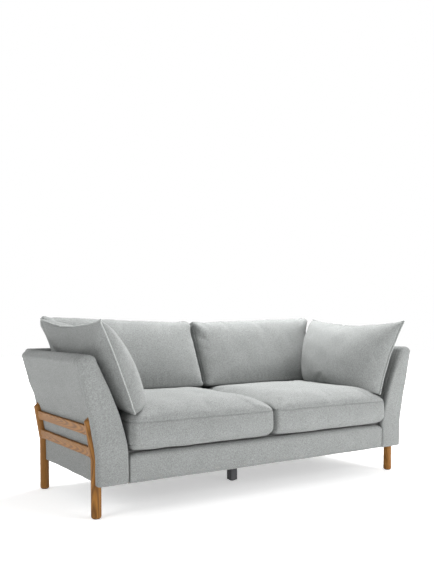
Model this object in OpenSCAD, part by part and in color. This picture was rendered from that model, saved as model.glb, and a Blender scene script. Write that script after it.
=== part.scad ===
// Two-seat-cushion sofa with flared padded arms and oak side frames.
// X runs along the sofa (left is -X, seen from in front), Y from front to back, Z up.
// The origin is on the floor, under the middle of the sofa. All sizes are in millimetres.

/* [Overall] */
// Width over the tops of the arms
overall_w = 2060; // [1700:10:2480]
// Depth from the front of the seat cushions to the top of the back
overall_d = 940; // [780:10:1130]
// Height of the arms and of the back frame
arm_h = 722; // [640:1:870]
// Height of the upholstered underside above the floor
underside = 150; // [125:1:180]

/* [Arms] */
// Thickness of an arm at its foot, measured on its front
arm_base_t = 150; // [125:1:180]
// How far the outside of an arm flares out between foot and shoulder
arm_flare_out = 90; // [75:1:108]
// How far the inside of an arm flares out between foot and shoulder
arm_flare_in = 147; // [125:1:160]
// Height of the rounded top of the arms and back
top_round = 32; // [26:1:39]
// How far the rear end of an arm stops short of the back's rear, at the foot
arm_rear_step = 55; // [45:1:66]
// How far the side of an arm stands in behind its front, where the posts lie
side_hollow = 24; // [20:1:28]
// Depth of the arm's wider front lip
front_lip = 34; // [28:1:40]
// Thickness of the padding and cover on the timber
pad_t = 16; // [13:1:19]

/* [Back] */
// Thickness of the back at its foot
back_base_t = 112; // [95:1:134]
// How far the rear of the back leans out
back_flare_out = 110; // [92:1:132]
// How far the inside of the back leans out
back_flare_in = 147; // [125:1:160]
// Gap between the ends of the back and the outside of the arms, at the foot
back_end_step = 45; // [37:1:54]

/* [Seat] */
// How far the seat cushions stand proud of the arms
seat_proud = 30; // [25:1:36]
// Height of the upholstered border below the seat cushions
border_h = 132; // [110:1:158]
// Height of the side walls of a seat cushion
seat_wall_h = 130; // [108:1:156]
// Extra height of a seat cushion in its middle
seat_crown = 66; // [50:1:80]

/* [Back and side cushions] */
// Height of a back cushion along its lean
back_cushion_h = 460; // [380:1:552]
// Thickness of a back cushion, square to its lean
back_cushion_t = 125; // [104:1:150]
// How far the front of a back cushion bulges
back_bulge = 26; // [20:1:32]
// How much the outer top corner of a back cushion rises above its inner one
back_corner_rise = 34; // [28:1:41]
// Height of a side cushion
side_cushion_h = 384; // [320:1:460]
// Clearance between the foot of a side cushion and the back cushion
side_cushion_gap = 14; // [11:1:17]
// Thickness of a side cushion at its foot
side_cushion_t = 195; // [165:1:234]

/* [Side frames] */
// Diameter of the oak legs
leg_d = 46; // [40:1:54]
// Distance from the front of an arm to the middle of the front leg
leg_front = 77; // [66:1:92]
// Distance from the rear end of an arm to the middle of the rear leg
leg_rear_in = 11; // [9:1:14]
// How far the posts stand up above the upper slat
post_above = 31; // [25:1:38]
// Height of a slat
slat_h = 44; // [37:1:52]
// Thickness of a slat
slat_t = 19; // [16:1:22]
// Height of the lower slat above the upholstered underside
slat_up = 118; // [98:1:142]
// Gap between the two slats
slat_gap = 53; // [44:1:63]

/* [Centre leg] */
// Width of the square centre leg
centre_leg_w = 42; // [35:1:50]
// Distance from the front of the arms to the middle of the centre leg
centre_leg_back = 353; // [300:1:420]

/* [Timber and fittings] */
// Thickness of the rails
rail_t = 26; // [22:1:30]
// Thickness of the profile boards and uprights
board_t = 18; // [15:1:22]
// Height of the seat rails
seat_rail_h = 100; // [83:1:120]
// Thickness of the zigzag spring wire
wire_t = 4; // [3:0.5:5]
// Number of zigzag springs
springs = 10; // [8:2:12]
// Diameter of the bolts
bolt_d = 8; // [6:1:9]
// Diameter of the slat dowels
dowel_d = 8; // [6:1:9]
// Height of the foot glides
glide_h = 4; // [3:1:5]
// Gap between loose cushions and what they lie on
gap = 3; // [2:0.5:4]

/* [Hidden] */
$fn = 48;

// Planes that the rest is built from
front_y = -overall_d / 2 + seat_proud;
arm_out = overall_w / 2 - arm_flare_out;
arm_in = arm_out - arm_base_t;
back_rear = overall_d / 2 - back_flare_out;
back_in = back_rear - back_base_t;
arm_rear_y = back_rear - arm_rear_step;
arm_l = arm_rear_y - front_y;
shoulder_z = arm_h - top_round;
border_z = underside + border_h;

// Curve of the flare: 0 up to the start height, 1 at the shoulder
flare_power = 1.4;
bend_out_z = underside + 100;
bend_in_z = underside + 135;
curve_steps = 12;
function flare(z, start) = pow(max(0, z - start) / (shoulder_z - start), flare_power);
function clamp01(v) = min(1, max(0, v));

// Slats and posts, from the upholstered underside up
slat_low = underside + slat_up;
slat_high = slat_low + slat_h + slat_gap;
post_top = slat_high + slat_h + post_above;

// The side of an arm is hollow behind the posts and meets the front outline higher up
hollow_top = post_top + 120;
hollow_fade = 140;
function hollow_at(z) = side_hollow * clamp01((hollow_top - z) / hollow_fade);
function front_x(z) = arm_out + arm_flare_out * flare(z, bend_out_z);
function side_x(z) = front_x(z) - hollow_at(z);
function arm_in_x(z) = arm_in + arm_flare_in * flare(z, bend_in_z);
function back_rear_y(z) = back_rear + back_flare_out * flare(z, bend_out_z);
function back_in_y(z) = back_in + back_flare_in * flare(z, bend_in_z);

// Seat levels, from the rails up
rail_foot_z = underside + 2;
rail_top_z = rail_foot_z + seat_rail_h;
clip_h = wire_t + 3;
pad_foot_z = rail_top_z + clip_h;
cloth_t = 3;
deck_z = border_z + 7;
seat_foot_z = deck_z + 0.5;
seat_seam_z = seat_foot_z + seat_wall_h;
seat_top_z = seat_seam_z + seat_crown;
rest_z = seat_top_z + gap;

// Seat rails
front_rail_w = 40;
front_rail_y = front_y + pad_t;
rear_rail_y = back_in - rail_t;
side_rail_y = front_rail_y + front_rail_w;
side_rail_l = rear_rail_y - side_rail_y;
centre_rail_w = 60;
centre_rail_h = 60;
plate_t = 3;
block_side = 70;
block_h = 60;
block_lift = 10;

// Legs and posts
leg_x = side_x(underside);
leg_bend_z = underside + 105;
leg_lean = atan((side_x(post_top) - leg_x) / (post_top - leg_bend_z));
leg_ys = [front_y + leg_front, arm_rear_y - leg_rear_in];
leg_pitch = leg_ys[1] - leg_ys[0];
post_slope = 32;

// Bolts: heights of the two in each post, and the timber that they go through
bolt_low_z = underside + 60;
bolt_high_z = slat_high - slat_gap / 2;
bolt_zs = [bolt_low_z, bolt_high_z];
hole_d = bolt_d + 0.6;
insert_d = bolt_d + 4;
insert_l = 14;
insert_gap = 2;
washer_d = 2.5 * bolt_d;
washer_t = 1.6;
head_d = 1.625 * bolt_d;
head_t = 0.65 * bolt_d;
nut_d = 1.9 * bolt_d;
nut_t = 0.8 * bolt_d;
rear_bolt_in = 8;
bolt_ys = [leg_ys[0], leg_ys[1] - rear_bolt_in];
bolt_rail_low = [underside + 20, underside + 100];
bolt_rail_high = [bolt_high_z - 32, bolt_high_z + 32];
frame_bolt_z = rail_foot_z + 0.6 * seat_rail_h;
dowel_l = 40;
dowel_in_post = 13;

// Lays a flat outline, drawn as X and Z, along Y
module along_y(y, l) {
    translate([0, y + l, 0])
        rotate([90, 0, 0])
            linear_extrude(l)
                children();
}

// Lays a flat outline, drawn as Y and Z, along X
module along_x(x, l) {
    translate([x, 0, 0])
        rotate([90, 0, 90])
            linear_extrude(l)
                children();
}

// The piece and its mirror image on the other side
module both_sides() {
    children();
    mirror([1, 0, 0]) children();
}

// Half a rounded bar end: points from one side, over the top, to the other
cap_steps = 12;
cap_power = 2 / 2.6;
function cap(mid, half, z, h) = [for (i = [1 : cap_steps - 1])
    let (a = 180 * i / cap_steps)
    [mid + half * sign(cos(a)) * pow(abs(cos(a)), cap_power), z + h * pow(sin(a), cap_power)]];
function heights(low, high) = [for (i = [0 : curve_steps]) low + (high - low) * i / curve_steps];

// Outline of an arm from the front, shrunk by inset; the side outline is hollow for the posts
edge_r = 18;
function arm_outer_x(z, side) = side ? side_x(z) : front_x(z);
module arm_outline(inset, side, foot) {
    mid = (arm_in_x(shoulder_z) + front_x(shoulder_z)) / 2;
    half = (front_x(shoulder_z) - arm_in_x(shoulder_z)) / 2 - inset;
    edge = inset > 0 ? 0 : edge_r;
    outer = [for (z = heights(foot + edge, shoulder_z)) [arm_outer_x(z, side) - inset, z]];
    inner = [for (z = heights(foot, shoulder_z)) [arm_in_x(z) + inset, z]];
    corner = [arm_outer_x(foot, side) - inset - edge, foot];
    polygon(concat([corner], outer, cap(mid, half, shoulder_z, top_round - inset),
        [for (i = [curve_steps : -1 : 0]) inner[i]]));
}

// Whole arm without its hollow: what legs, slats and the back are cut to
module arm_block() {
    along_y(front_y + front_lip, arm_l - front_lip) arm_outline(0, true, underside);
    along_y(front_y, front_lip) arm_outline(0, false, underside);
}

// Outline of the back from the side, shrunk by inset and, on the seat side, by extra
module back_outline(inset, extra, foot) {
    mid = (back_in_y(shoulder_z) + back_rear_y(shoulder_z)) / 2;
    half = (back_rear_y(shoulder_z) - back_in_y(shoulder_z)) / 2 - inset;
    rear = [for (z = heights(foot, shoulder_z)) [back_rear_y(z) - inset, z]];
    seat_side = [for (z = heights(foot, shoulder_z)) [back_in_y(z) + inset + extra, z]];
    polygon(concat(rear, cap(mid, half, shoulder_z, top_round - inset),
        [for (i = [curve_steps : -1 : 0]) seat_side[i]]));
}

// Whole back without its hollow, cut off at its ends and to the arms
back_end_foot = arm_out - back_end_step;
back_end_flare = 70;
back_end_top = back_end_foot + back_end_flare;
back_top_r = 24;
module back_block() {
    difference() {
        intersection() {
            along_x(-back_end_top, 2 * back_end_top) back_outline(0, 0, underside);
            along_y(back_in, overall_d) polygon([[-back_end_foot, underside],
                [back_end_foot, underside], [back_end_top, shoulder_z],
                [back_end_top - back_top_r, arm_h], [back_top_r - back_end_top, arm_h],
                [-back_end_top, shoulder_z]]);
        }
        both_sides() arm_block();
    }
}

// ---- Seat frame ----

module front_rail() {
    color("burlywood")
        translate([-arm_in, front_rail_y, rail_foot_z])
            cube([2 * arm_in, front_rail_w, seat_rail_h]);
}

module rear_rail() {
    color("burlywood")
        difference() {
            translate([-arm_in, rear_rail_y, rail_foot_z])
                cube([2 * arm_in, rail_t, seat_rail_h]);
            back_bolt_places() bolt_hole();
        }
}

module side_rail() {
    color("tan")
        difference() {
            translate([arm_in - rail_t, side_rail_y, rail_foot_z])
                cube([rail_t, side_rail_l, seat_rail_h]);
            arm_bolt_places() bolt_hole();
        }
}

module left_side_rail() {
    mirror([1, 0, 0]) side_rail();
}

module right_side_rail() {
    side_rail();
}

centre_rail_z = rail_foot_z + plate_t;
module centre_rail() {
    color("tan")
        difference() {
            translate([-centre_rail_w / 2, side_rail_y, centre_rail_z])
                cube([centre_rail_w, side_rail_l, centre_rail_h]);
            screw_places() cylinder(h = 2 * screw_l, d = screw_d, center = true);
        }
}

module corner_block() {
    translate([arm_in - rail_t, side_rail_y, rail_foot_z + block_lift])
        linear_extrude(block_h)
            polygon([[0, 0], [-block_side, 0], [0, block_side]]);
    translate([arm_in - rail_t, rear_rail_y, rail_foot_z + block_lift])
        linear_extrude(block_h)
            polygon([[0, 0], [0, -block_side], [-block_side, 0]]);
}

module corner_blocks() {
    color("peru") both_sides() corner_block();
}

// Padded border over the front rail, with a rounded upper edge
border_roll = 40;
border_r = 20;
module front_border() {
    color("lightgrey")
        along_x(-arm_in, 2 * arm_in)
            difference() {
                union() {
                    translate([front_y, underside])
                        square([border_roll, border_h - border_r]);
                    translate([front_y + border_r, underside])
                        square([border_roll - border_r, border_h]);
                    translate([front_y + border_r, border_z - border_r])
                        circle(r = border_r);
                }
                translate([front_rail_y, underside - 1])
                    square([border_roll, rail_top_z - underside + 1]);
            }
}

// ---- Springs and deck ----

spring_bar = 18;
spring_loops = 14;
clip_w = 12;
clip_l = 16;
spring_y0 = front_rail_y + front_rail_w - clip_l / 2;
spring_y1 = rear_rail_y + rail_t / 2;
spring_pitch = (spring_y1 - spring_y0) / spring_loops;
spring_span = 2 * (arm_in - rail_t - 50) / springs;
function spring_x(i) = (i - (springs - 1) / 2) * spring_span;

// A flat zigzag: cross bars joined by half rings on alternate sides
module zigzag() {
    r = spring_pitch / 2;
    for (i = [0 : spring_loops]) {
        translate([-spring_bar / 2, spring_y0 + i * spring_pitch - wire_t / 2])
            square([spring_bar, wire_t]);
    }
    for (i = [0 : spring_loops - 1]) {
        s = i % 2 == 0 ? 1 : -1;
        translate([s * spring_bar / 2, spring_y0 + (i + 0.5) * spring_pitch])
            intersection() {
                difference() {
                    circle(r = r + wire_t / 2);
                    circle(r = r - wire_t / 2);
                }
                translate([s > 0 ? 0 : -2 * r, -2 * r])
                    square([2 * r, 4 * r]);
            }
    }
}

module seat_springs() {
    color("silver")
        for (i = [0 : springs - 1]) {
            translate([spring_x(i), 0, rail_top_z])
                linear_extrude(wire_t)
                    zigzag();
        }
}

// Each clip is a bridge over the last cross bar of a spring
module spring_clips() {
    color("dimgray")
        for (i = [0 : springs - 1], y = [spring_y0, spring_y1]) {
            translate([spring_x(i), y, rail_top_z])
                difference() {
                    translate([-clip_w / 2, -clip_l / 2, 0]) cube([clip_w, clip_l, clip_h]);
                    translate([-clip_w, -wire_t / 2, -1]) cube([2 * clip_w, wire_t, wire_t + 1]);
                }
        }
}

deck_y = front_y + border_roll;
deck_l = back_in - deck_y;
module seat_pad() {
    color("khaki")
        translate([-arm_in, deck_y, pad_foot_z])
            cube([2 * arm_in, deck_l, deck_z - cloth_t - pad_foot_z]);
}

module deck_cloth() {
    color("gray")
        translate([-arm_in, deck_y, deck_z - cloth_t])
            cube([2 * arm_in, deck_l, cloth_t]);
}

module dust_cover() {
    color("black")
        difference() {
            translate([-arm_in, front_rail_y, underside])
                cube([2 * arm_in, back_in - front_rail_y, rail_foot_z - underside]);
            translate([0, centre_leg_y, underside])
                cube([plate_w + 2, plate_w + 2, 3 * plate_t], center = true);
        }
}

// ---- Arms ----

// The rear wall of the cover is thin, so that the rear bolts have timber behind them
rear_wall_t = 6;
cavity_y0 = front_y + pad_t;
cavity_y1 = arm_rear_y - rear_wall_t;
rear_board_in = 51;
board_ys = [cavity_y0, arm_rear_y - rear_board_in];
module arm_boards() {
    color("wheat")
        for (y = board_ys) {
            along_y(y, board_t)
                difference() {
                    arm_outline(pad_t, true, rail_foot_z);
                    side_rail_bands();
                }
        }
}

module left_arm_boards() {
    mirror([1, 0, 0]) arm_boards();
}

module right_arm_boards() {
    arm_boards();
}

// Two bolt rails on the outside, one rail on the inside and one under the top of the arm
arm_top_rail = [shoulder_z - 42, shoulder_z];
function bolt_face_x(low) = side_x(low) - pad_t - rail_t;
module side_rail_bands() {
    translate([bolt_face_x(bolt_rail_low[0]), bolt_rail_low[0]])
        square([arm_base_t, bolt_rail_low[1] - bolt_rail_low[0]]);
    translate([bolt_face_x(bolt_rail_high[0]), bolt_rail_high[0]])
        square([arm_base_t, bolt_rail_high[1] - bolt_rail_high[0]]);
    translate([arm_in, bolt_rail_low[0]])
        square([pad_t + rail_t, bolt_rail_low[1] - bolt_rail_low[0]]);
}

module arm_rails() {
    top_y = board_ys[0] + board_t;
    color("burlywood")
        difference() {
            union() {
                along_y(cavity_y0, cavity_y1 - cavity_y0)
                    intersection() {
                        arm_outline(pad_t, true, rail_foot_z);
                        side_rail_bands();
                    }
                along_y(top_y, board_ys[1] - top_y)
                    intersection() {
                        arm_outline(pad_t, true, rail_foot_z);
                        translate([arm_in, arm_top_rail[0]])
                            square([overall_w, arm_top_rail[1] - arm_top_rail[0]]);
                    }
            }
            leg_bolt_places() bolt_hole();
            arm_bolt_places() bolt_hole();
        }
}

module left_arm_rails() {
    mirror([1, 0, 0]) arm_rails();
}

module right_arm_rails() {
    arm_rails();
}

module arm_cover() {
    color("gainsboro")
        difference() {
            arm_block();
            along_y(cavity_y0, cavity_y1 - cavity_y0) arm_outline(pad_t, true, rail_foot_z);
            leg_bolt_places() bolt_hole();
            arm_bolt_places() bolt_hole();
        }
}

module left_arm_cover() {
    mirror([1, 0, 0]) arm_cover();
}

module right_arm_cover() {
    arm_cover();
}

// ---- Back ----

back_hollow = arm_in - pad_t;
upright_xs = [board_t - back_hollow, -back_hollow / 3, back_hollow / 3, back_hollow];
webbing_t = 2;
webbing_w = 50;
webbing_zs = [for (i = [0 : 3]) underside + 165 + i * 80];
back_rail_low = [rail_foot_z, rail_foot_z + 80];

module top_rail_outline() {
    intersection() {
        back_outline(pad_t, webbing_t, rail_foot_z);
        translate([back_in, arm_top_rail[0]])
            square([overall_d, arm_top_rail[1] - arm_top_rail[0]]);
    }
}

module bottom_rail_outline() {
    translate([back_in + pad_t + webbing_t, back_rail_low[0]])
        square([rail_t, back_rail_low[1] - back_rail_low[0]]);
}

module back_top_rail() {
    color("burlywood") along_x(-back_hollow, 2 * back_hollow) top_rail_outline();
}

module back_bottom_rail() {
    color("burlywood")
        difference() {
            along_x(-back_hollow, 2 * back_hollow) bottom_rail_outline();
            back_bolt_places() bolt_hole();
        }
}

module back_uprights() {
    color("wheat")
        for (x = upright_xs) {
            along_x(x - board_t, board_t)
                difference() {
                    back_outline(pad_t, webbing_t, rail_foot_z);
                    top_rail_outline();
                    bottom_rail_outline();
                }
        }
}

module back_webbing() {
    color("dimgray")
        along_x(-back_hollow, 2 * back_hollow)
            difference() {
                intersection() {
                    back_outline(pad_t, 0, rail_foot_z);
                    for (z = webbing_zs) {
                        translate([back_in, z]) square([overall_d, webbing_w]);
                    }
                }
                back_outline(pad_t, webbing_t, rail_foot_z);
            }
}

module back_cover() {
    color("gainsboro")
        difference() {
            back_block();
            along_x(-back_hollow, 2 * back_hollow) back_outline(pad_t, 0, rail_foot_z);
            back_bolt_places() bolt_hole();
        }
}

// ---- Legs and slats ----

// A round bar from the floor to the post top, bent to follow the side of the arm
module leg_bar(y) {
    translate([leg_x, y, glide_h]) cylinder(h = leg_bend_z - glide_h, d = leg_d);
    translate([leg_x, y, leg_bend_z]) sphere(d = leg_d);
    translate([leg_x, y, leg_bend_z])
        rotate([0, leg_lean, 0])
            cylinder(h = post_top - leg_bend_z + leg_d, d = leg_d);
}

// Half-lapped under the arm, sloped at the top, bored for inserts, dowels and glide
bore_start = 5;
module leg(i) {
    y = leg_ys[i];
    inward = i == 0 ? 1 : -1;
    color("sienna")
        difference() {
            leg_bar(y);
            along_y(front_y, overall_d) arm_outline(0, true, underside);
            back_block();
            translate([side_x(post_top), y, post_top])
                rotate([0, post_slope, 0])
                    translate([-3 * leg_d, -2 * leg_d, 0])
                        cube([6 * leg_d, 4 * leg_d, 4 * leg_d]);
            for (z = bolt_zs) {
                translate([side_x(z) - bore_start, bolt_ys[i], z])
                    rotate([0, 90, 0])
                        cylinder(h = bore_start + insert_gap + insert_l, d = insert_d);
            }
            for (z = slat_zs) {
                dowel_place(y, inward, z) cylinder(h = dowel_l, d = dowel_d);
            }
            translate([leg_x, y, glide_h]) cylinder(h = glide_pin_l, d = glide_pin_d);
        }
}

module left_front_leg() {
    mirror([1, 0, 0]) leg(0);
}

module left_rear_leg() {
    mirror([1, 0, 0]) leg(1);
}

module right_front_leg() {
    leg(0);
}

module right_rear_leg() {
    leg(1);
}

slat_zs = [slat_low, slat_high];

// A slat lies on the side of the arm and is coped over both posts
module slat(z) {
    color("peru")
        difference() {
            along_y(leg_ys[0], leg_pitch)
                polygon([[side_x(z), z], [side_x(z) + slat_t, z],
                    [side_x(z + slat_h) + slat_t, z + slat_h], [side_x(z + slat_h), z + slat_h]]);
            for (y = leg_ys) {
                leg_bar(y);
            }
            arm_block();
            back_block();
            dowel_place(leg_ys[0], 1, z) cylinder(h = dowel_l, d = dowel_d);
            dowel_place(leg_ys[1], -1, z) cylinder(h = dowel_l, d = dowel_d);
        }
}

module left_upper_slat() {
    mirror([1, 0, 0]) slat(slat_high);
}

module left_lower_slat() {
    mirror([1, 0, 0]) slat(slat_low);
}

module right_upper_slat() {
    slat(slat_high);
}

module right_lower_slat() {
    slat(slat_low);
}

// Start of a dowel in the post at y, pointing into the slat at height z
module dowel_place(y, inward, z) {
    mid_z = z + slat_h / 2;
    translate([side_x(mid_z) + slat_t / 2 + 1, y + inward * (leg_d / 2 - dowel_in_post), mid_z])
        rotate([-90 * inward, 0, 0])
            children();
}

module slat_dowels() {
    color("wheat")
        both_sides()
            for (z = slat_zs) {
                dowel_place(leg_ys[0], 1, z) cylinder(h = dowel_l, d = dowel_d);
                dowel_place(leg_ys[1], -1, z) cylinder(h = dowel_l, d = dowel_d);
            }
}

// ---- Bolts ----

// Children drawn with +Z from the head into the joint are set at each bolt
module leg_bolt_places() {
    for (y = bolt_ys, i = [0, 1]) {
        low = i == 0 ? bolt_rail_low[0] : bolt_rail_high[0];
        translate([bolt_face_x(low), y, bolt_zs[i]]) rotate([0, 90, 0]) children();
    }
}

arm_bolt_in = 110;
arm_bolt_drop = 20;
arm_bolt_ys = [side_rail_y + arm_bolt_in, rear_rail_y - arm_bolt_in];
module arm_bolt_places() {
    for (y = arm_bolt_ys) {
        translate([arm_in - rail_t, y, frame_bolt_z - arm_bolt_drop]) rotate([0, 90, 0]) children();
    }
}

back_bolt_spots = [-0.8, -0.25, 0.25, 0.8];
module back_bolt_places() {
    for (x = back_bolt_spots * arm_in) {
        translate([x, rear_rail_y, frame_bolt_z]) rotate([-90, 0, 0]) children();
    }
}

hole_l = 2 * rail_t + pad_t + 6;
module bolt_hole() {
    translate([0, 0, -1]) cylinder(h = hole_l, d = hole_d);
}

// A hexagon-head bolt whose head sits on a washer thickness below zero
module bolt(l, under_head) {
    translate([0, 0, -under_head]) cylinder(h = under_head + l, d = bolt_d);
    translate([0, 0, -under_head - head_t]) cylinder(h = head_t, d = head_d, $fn = 6);
}

function leg_bolt_l(i) = side_x(bolt_zs[i]) + insert_gap + insert_l
    - bolt_face_x(i == 0 ? bolt_rail_low[0] : bolt_rail_high[0]);
module leg_bolts() {
    color("silver")
        both_sides()
            for (y = bolt_ys, i = [0, 1]) {
                low = i == 0 ? bolt_rail_low[0] : bolt_rail_high[0];
                translate([bolt_face_x(low), y, bolt_zs[i]])
                    rotate([0, 90, 0])
                        bolt(leg_bolt_l(i), washer_t);
            }
}

module leg_washers() {
    color("gainsboro")
        both_sides()
            leg_bolt_places()
                translate([0, 0, -washer_t])
                    difference() {
                        cylinder(h = washer_t, d = washer_d);
                        translate([0, 0, -1]) cylinder(h = washer_t + 2, d = hole_d);
                    }
}

module leg_inserts() {
    color("goldenrod")
        both_sides()
            for (y = bolt_ys, z = bolt_zs) {
                translate([side_x(z) + insert_gap, y, z])
                    rotate([0, 90, 0])
                        difference() {
                            cylinder(h = insert_l, d = insert_d);
                            translate([0, 0, -1]) cylinder(h = insert_l + 2, d = bolt_d);
                        }
            }
}

arm_bolt_l = 2 * rail_t + pad_t;
back_bolt_l = arm_bolt_l + webbing_t;
module frame_bolts() {
    color("silver") {
        both_sides() arm_bolt_places() bolt(arm_bolt_l + nut_t, 0);
        back_bolt_places() bolt(back_bolt_l + nut_t, 0);
    }
}

module nut() {
    difference() {
        cylinder(h = nut_t, d = nut_d, $fn = 6);
        translate([0, 0, -1]) cylinder(h = nut_t + 2, d = bolt_d);
    }
}

module frame_nuts() {
    color("darkgray") {
        both_sides() arm_bolt_places() translate([0, 0, arm_bolt_l]) nut();
        back_bolt_places() translate([0, 0, back_bolt_l]) nut();
    }
}

// ---- Centre leg and glides ----

centre_leg_y = front_y + centre_leg_back;
plate_w = centre_leg_w + 44;
screw_d = 5;
screw_l = 32;
screw_head_d = 10;
screw_head_t = 2;
glide_d = 32;
glide_pin_d = 4;
glide_pin_l = 16;

module centre_leg() {
    color([0.16, 0.16, 0.17])
        difference() {
            translate([-centre_leg_w / 2, centre_leg_y - centre_leg_w / 2, glide_h])
                cube([centre_leg_w, centre_leg_w, rail_foot_z - glide_h]);
            translate([0, centre_leg_y, glide_h]) cylinder(h = glide_pin_l, d = glide_pin_d);
        }
}

screw_dx = centre_leg_w / 2 - 2;
screw_dy = plate_w / 2 - 10;
module screw_places() {
    for (x = [-screw_dx, screw_dx], y = [-screw_dy, screw_dy]) {
        translate([x, centre_leg_y + y, rail_foot_z]) children();
    }
}

module centre_leg_plate() {
    color("dimgray")
        difference() {
            translate([-plate_w / 2, centre_leg_y - plate_w / 2, rail_foot_z])
                cube([plate_w, plate_w, plate_t]);
            screw_places() cylinder(h = 4 * plate_t, d = screw_d, center = true);
        }
}

module centre_leg_screws() {
    color("silver")
        screw_places() {
            translate([0, 0, -screw_head_t]) cylinder(h = screw_head_t, d = screw_head_d);
            cylinder(h = screw_l, d = screw_d);
        }
}

module glide() {
    cylinder(h = glide_h, d = glide_d);
    translate([0, 0, glide_h]) cylinder(h = glide_pin_l, d = glide_pin_d);
}

module foot_glides() {
    color("black") {
        both_sides()
            for (y = leg_ys) {
                translate([leg_x, y, 0]) glide();
            }
        translate([0, centre_leg_y, 0]) glide();
    }
}

// ---- Loose cushions ----

// The filling is the cushion shrunk about its middle; the cover is what is left around it
fill_scale = 0.96;
module fill_of(mid) {
    translate(mid) scale(fill_scale) translate(-mid) children();
}

// Seat cushion: crowned from front to back and from side to side
crown_steps = 16;
seat_x0 = gap;
seat_x1 = arm_in - gap;
seat_y0 = -overall_d / 2;
seat_y1 = back_in - gap;
seat_mid = [(seat_x0 + seat_x1) / 2, (seat_y0 + seat_y1) / 2, (seat_foot_z + seat_top_z) / 2];
seat_edge = 14;
function arch(t, n) = pow(max(0, 1 - pow(abs(2 * t - 1), n)), 1 / n);
seat_power_x = 3;
seat_power_y = 2.6;
module crowned_outline(a0, a1, power) {
    top = [for (i = [0 : crown_steps])
        let (t = 0.5 - 0.5 * cos(180 * i / crown_steps))
        [a1 - (a1 - a0) * t, seat_seam_z + seat_crown * arch(t, power)]];
    polygon(concat([[a0, seat_foot_z + seat_edge], [a0 + seat_edge, seat_foot_z],
        [a1 - seat_edge, seat_foot_z], [a1, seat_foot_z + seat_edge]], top));
}

module seat_cushion() {
    intersection() {
        along_y(seat_y0, seat_y1 - seat_y0) crowned_outline(seat_x0, seat_x1, seat_power_x);
        along_x(seat_x0, seat_x1 - seat_x0) crowned_outline(seat_y0, seat_y1, seat_power_y);
    }
}

module seat_cover() {
    color("lightgray")
        difference() {
            seat_cushion();
            fill_of(seat_mid) seat_cushion();
        }
}

module left_seat_cover() {
    mirror([1, 0, 0]) seat_cover();
}

module right_seat_cover() {
    seat_cover();
}

module left_seat_foam() {
    color("khaki") mirror([1, 0, 0]) fill_of(seat_mid) seat_cushion();
}

module right_seat_foam() {
    color("khaki") fill_of(seat_mid) seat_cushion();
}

// Back cushion: a leaning box with a bulging front and a round top
back_gap = 4;
lean_slack = 0.8;
back_rise = (back_in_y(shoulder_z) - back_in_y(rest_z)) / (shoulder_z - rest_z);
back_lean = atan(back_rise) - lean_slack;
back_foot_y = back_in_y(rest_z) - back_gap - back_cushion_t / cos(back_lean);
back_x1 = arm_in_x(rest_z) - 4 * gap;
back_top_in = 48;
back_x2 = arm_in_x(shoulder_z) - back_top_in;
back_r = back_cushion_t / 2;
back_top_z = rest_z + (back_cushion_h - back_r) * cos(back_lean) + back_r * (1 - sin(back_lean));
back_mid = [back_x1 / 2, back_foot_y + back_cushion_t + 60, (rest_z + back_top_z) / 2];
module leaning_outline() {
    front = [for (i = [0 : curve_steps])
        let (t = i / curve_steps)
        [-back_bulge * sin(180 * t), (back_cushion_h - back_r) * t]];
    over = [for (i = [1 : cap_steps - 1])
        let (a = 180 - 180 * i / cap_steps)
        [back_r * (1 + cos(a)), back_cushion_h - back_r * (1 - sin(a))]];
    polygon(concat(front, over, [[back_cushion_t, back_cushion_h - back_r],
        [back_cushion_t, 0]]));
}

corner_r = 20;
module back_cushion() {
    drop = back_cushion_t * sin(back_lean);
    intersection() {
        along_x(gap, back_x2 - gap)
            intersection() {
                translate([back_foot_y, rest_z])
                    rotate(-back_lean)
                        translate([0, -drop])
                            carried_on_outline(drop);
                translate([back_foot_y - overall_d, rest_z])
                    square([2 * overall_d, overall_d]);
            }
        along_y(front_y, overall_d)
            polygon([[gap, rest_z], [back_x1, rest_z], [back_x2, shoulder_z],
                [back_x2, back_top_z - corner_r], [back_x2 - corner_r, back_top_z],
                [gap + corner_r, back_top_z - back_corner_rise],
                [gap, back_top_z - back_corner_rise - corner_r]]);
    }
}

// The leaning outline carried on below its foot, so that the foot can be cut level
module carried_on_outline(drop) {
    translate([0, drop]) leaning_outline();
    square([back_cushion_t, drop + 1]);
}

module back_cushion_cover() {
    color("lightgray")
        difference() {
            back_cushion();
            fill_of(back_mid) back_cushion();
        }
}

module left_back_cover() {
    mirror([1, 0, 0]) back_cushion_cover();
}

module right_back_cover() {
    back_cushion_cover();
}

module left_back_fill() {
    color("ivory") mirror([1, 0, 0]) fill_of(back_mid) back_cushion();
}

module right_back_fill() {
    color("ivory") fill_of(back_mid) back_cushion();
}

// Side cushion: a plump knife-edged pad that leans on the arm and sits on the seat
side_foot_y0 = front_y + 6;
side_foot_y1 = back_foot_y - side_cushion_gap;
side_cushion_l = side_foot_y1 - side_foot_y0;
side_top_z = rest_z + side_cushion_h;
side_foot_x = arm_in_x(rest_z) - 6 * gap;
side_lean = (arm_in_x(shoulder_z) - arm_in_x(rest_z)) / (shoulder_z - rest_z);
side_rear_lean = tan(back_lean) * 0.55;
side_front_lean = 0.07;
side_front_drop = 20;
rim_r = 7;
rim_in = 50;
rim_lean = side_lean - 0.05;
function side_rim_x(h) = side_foot_x - rim_in + rim_lean * h;
side_mid = [side_foot_x - 0.3 * side_cushion_t, (side_foot_y0 + side_foot_y1) / 2,
    rest_z + side_cushion_h / 2];

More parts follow.
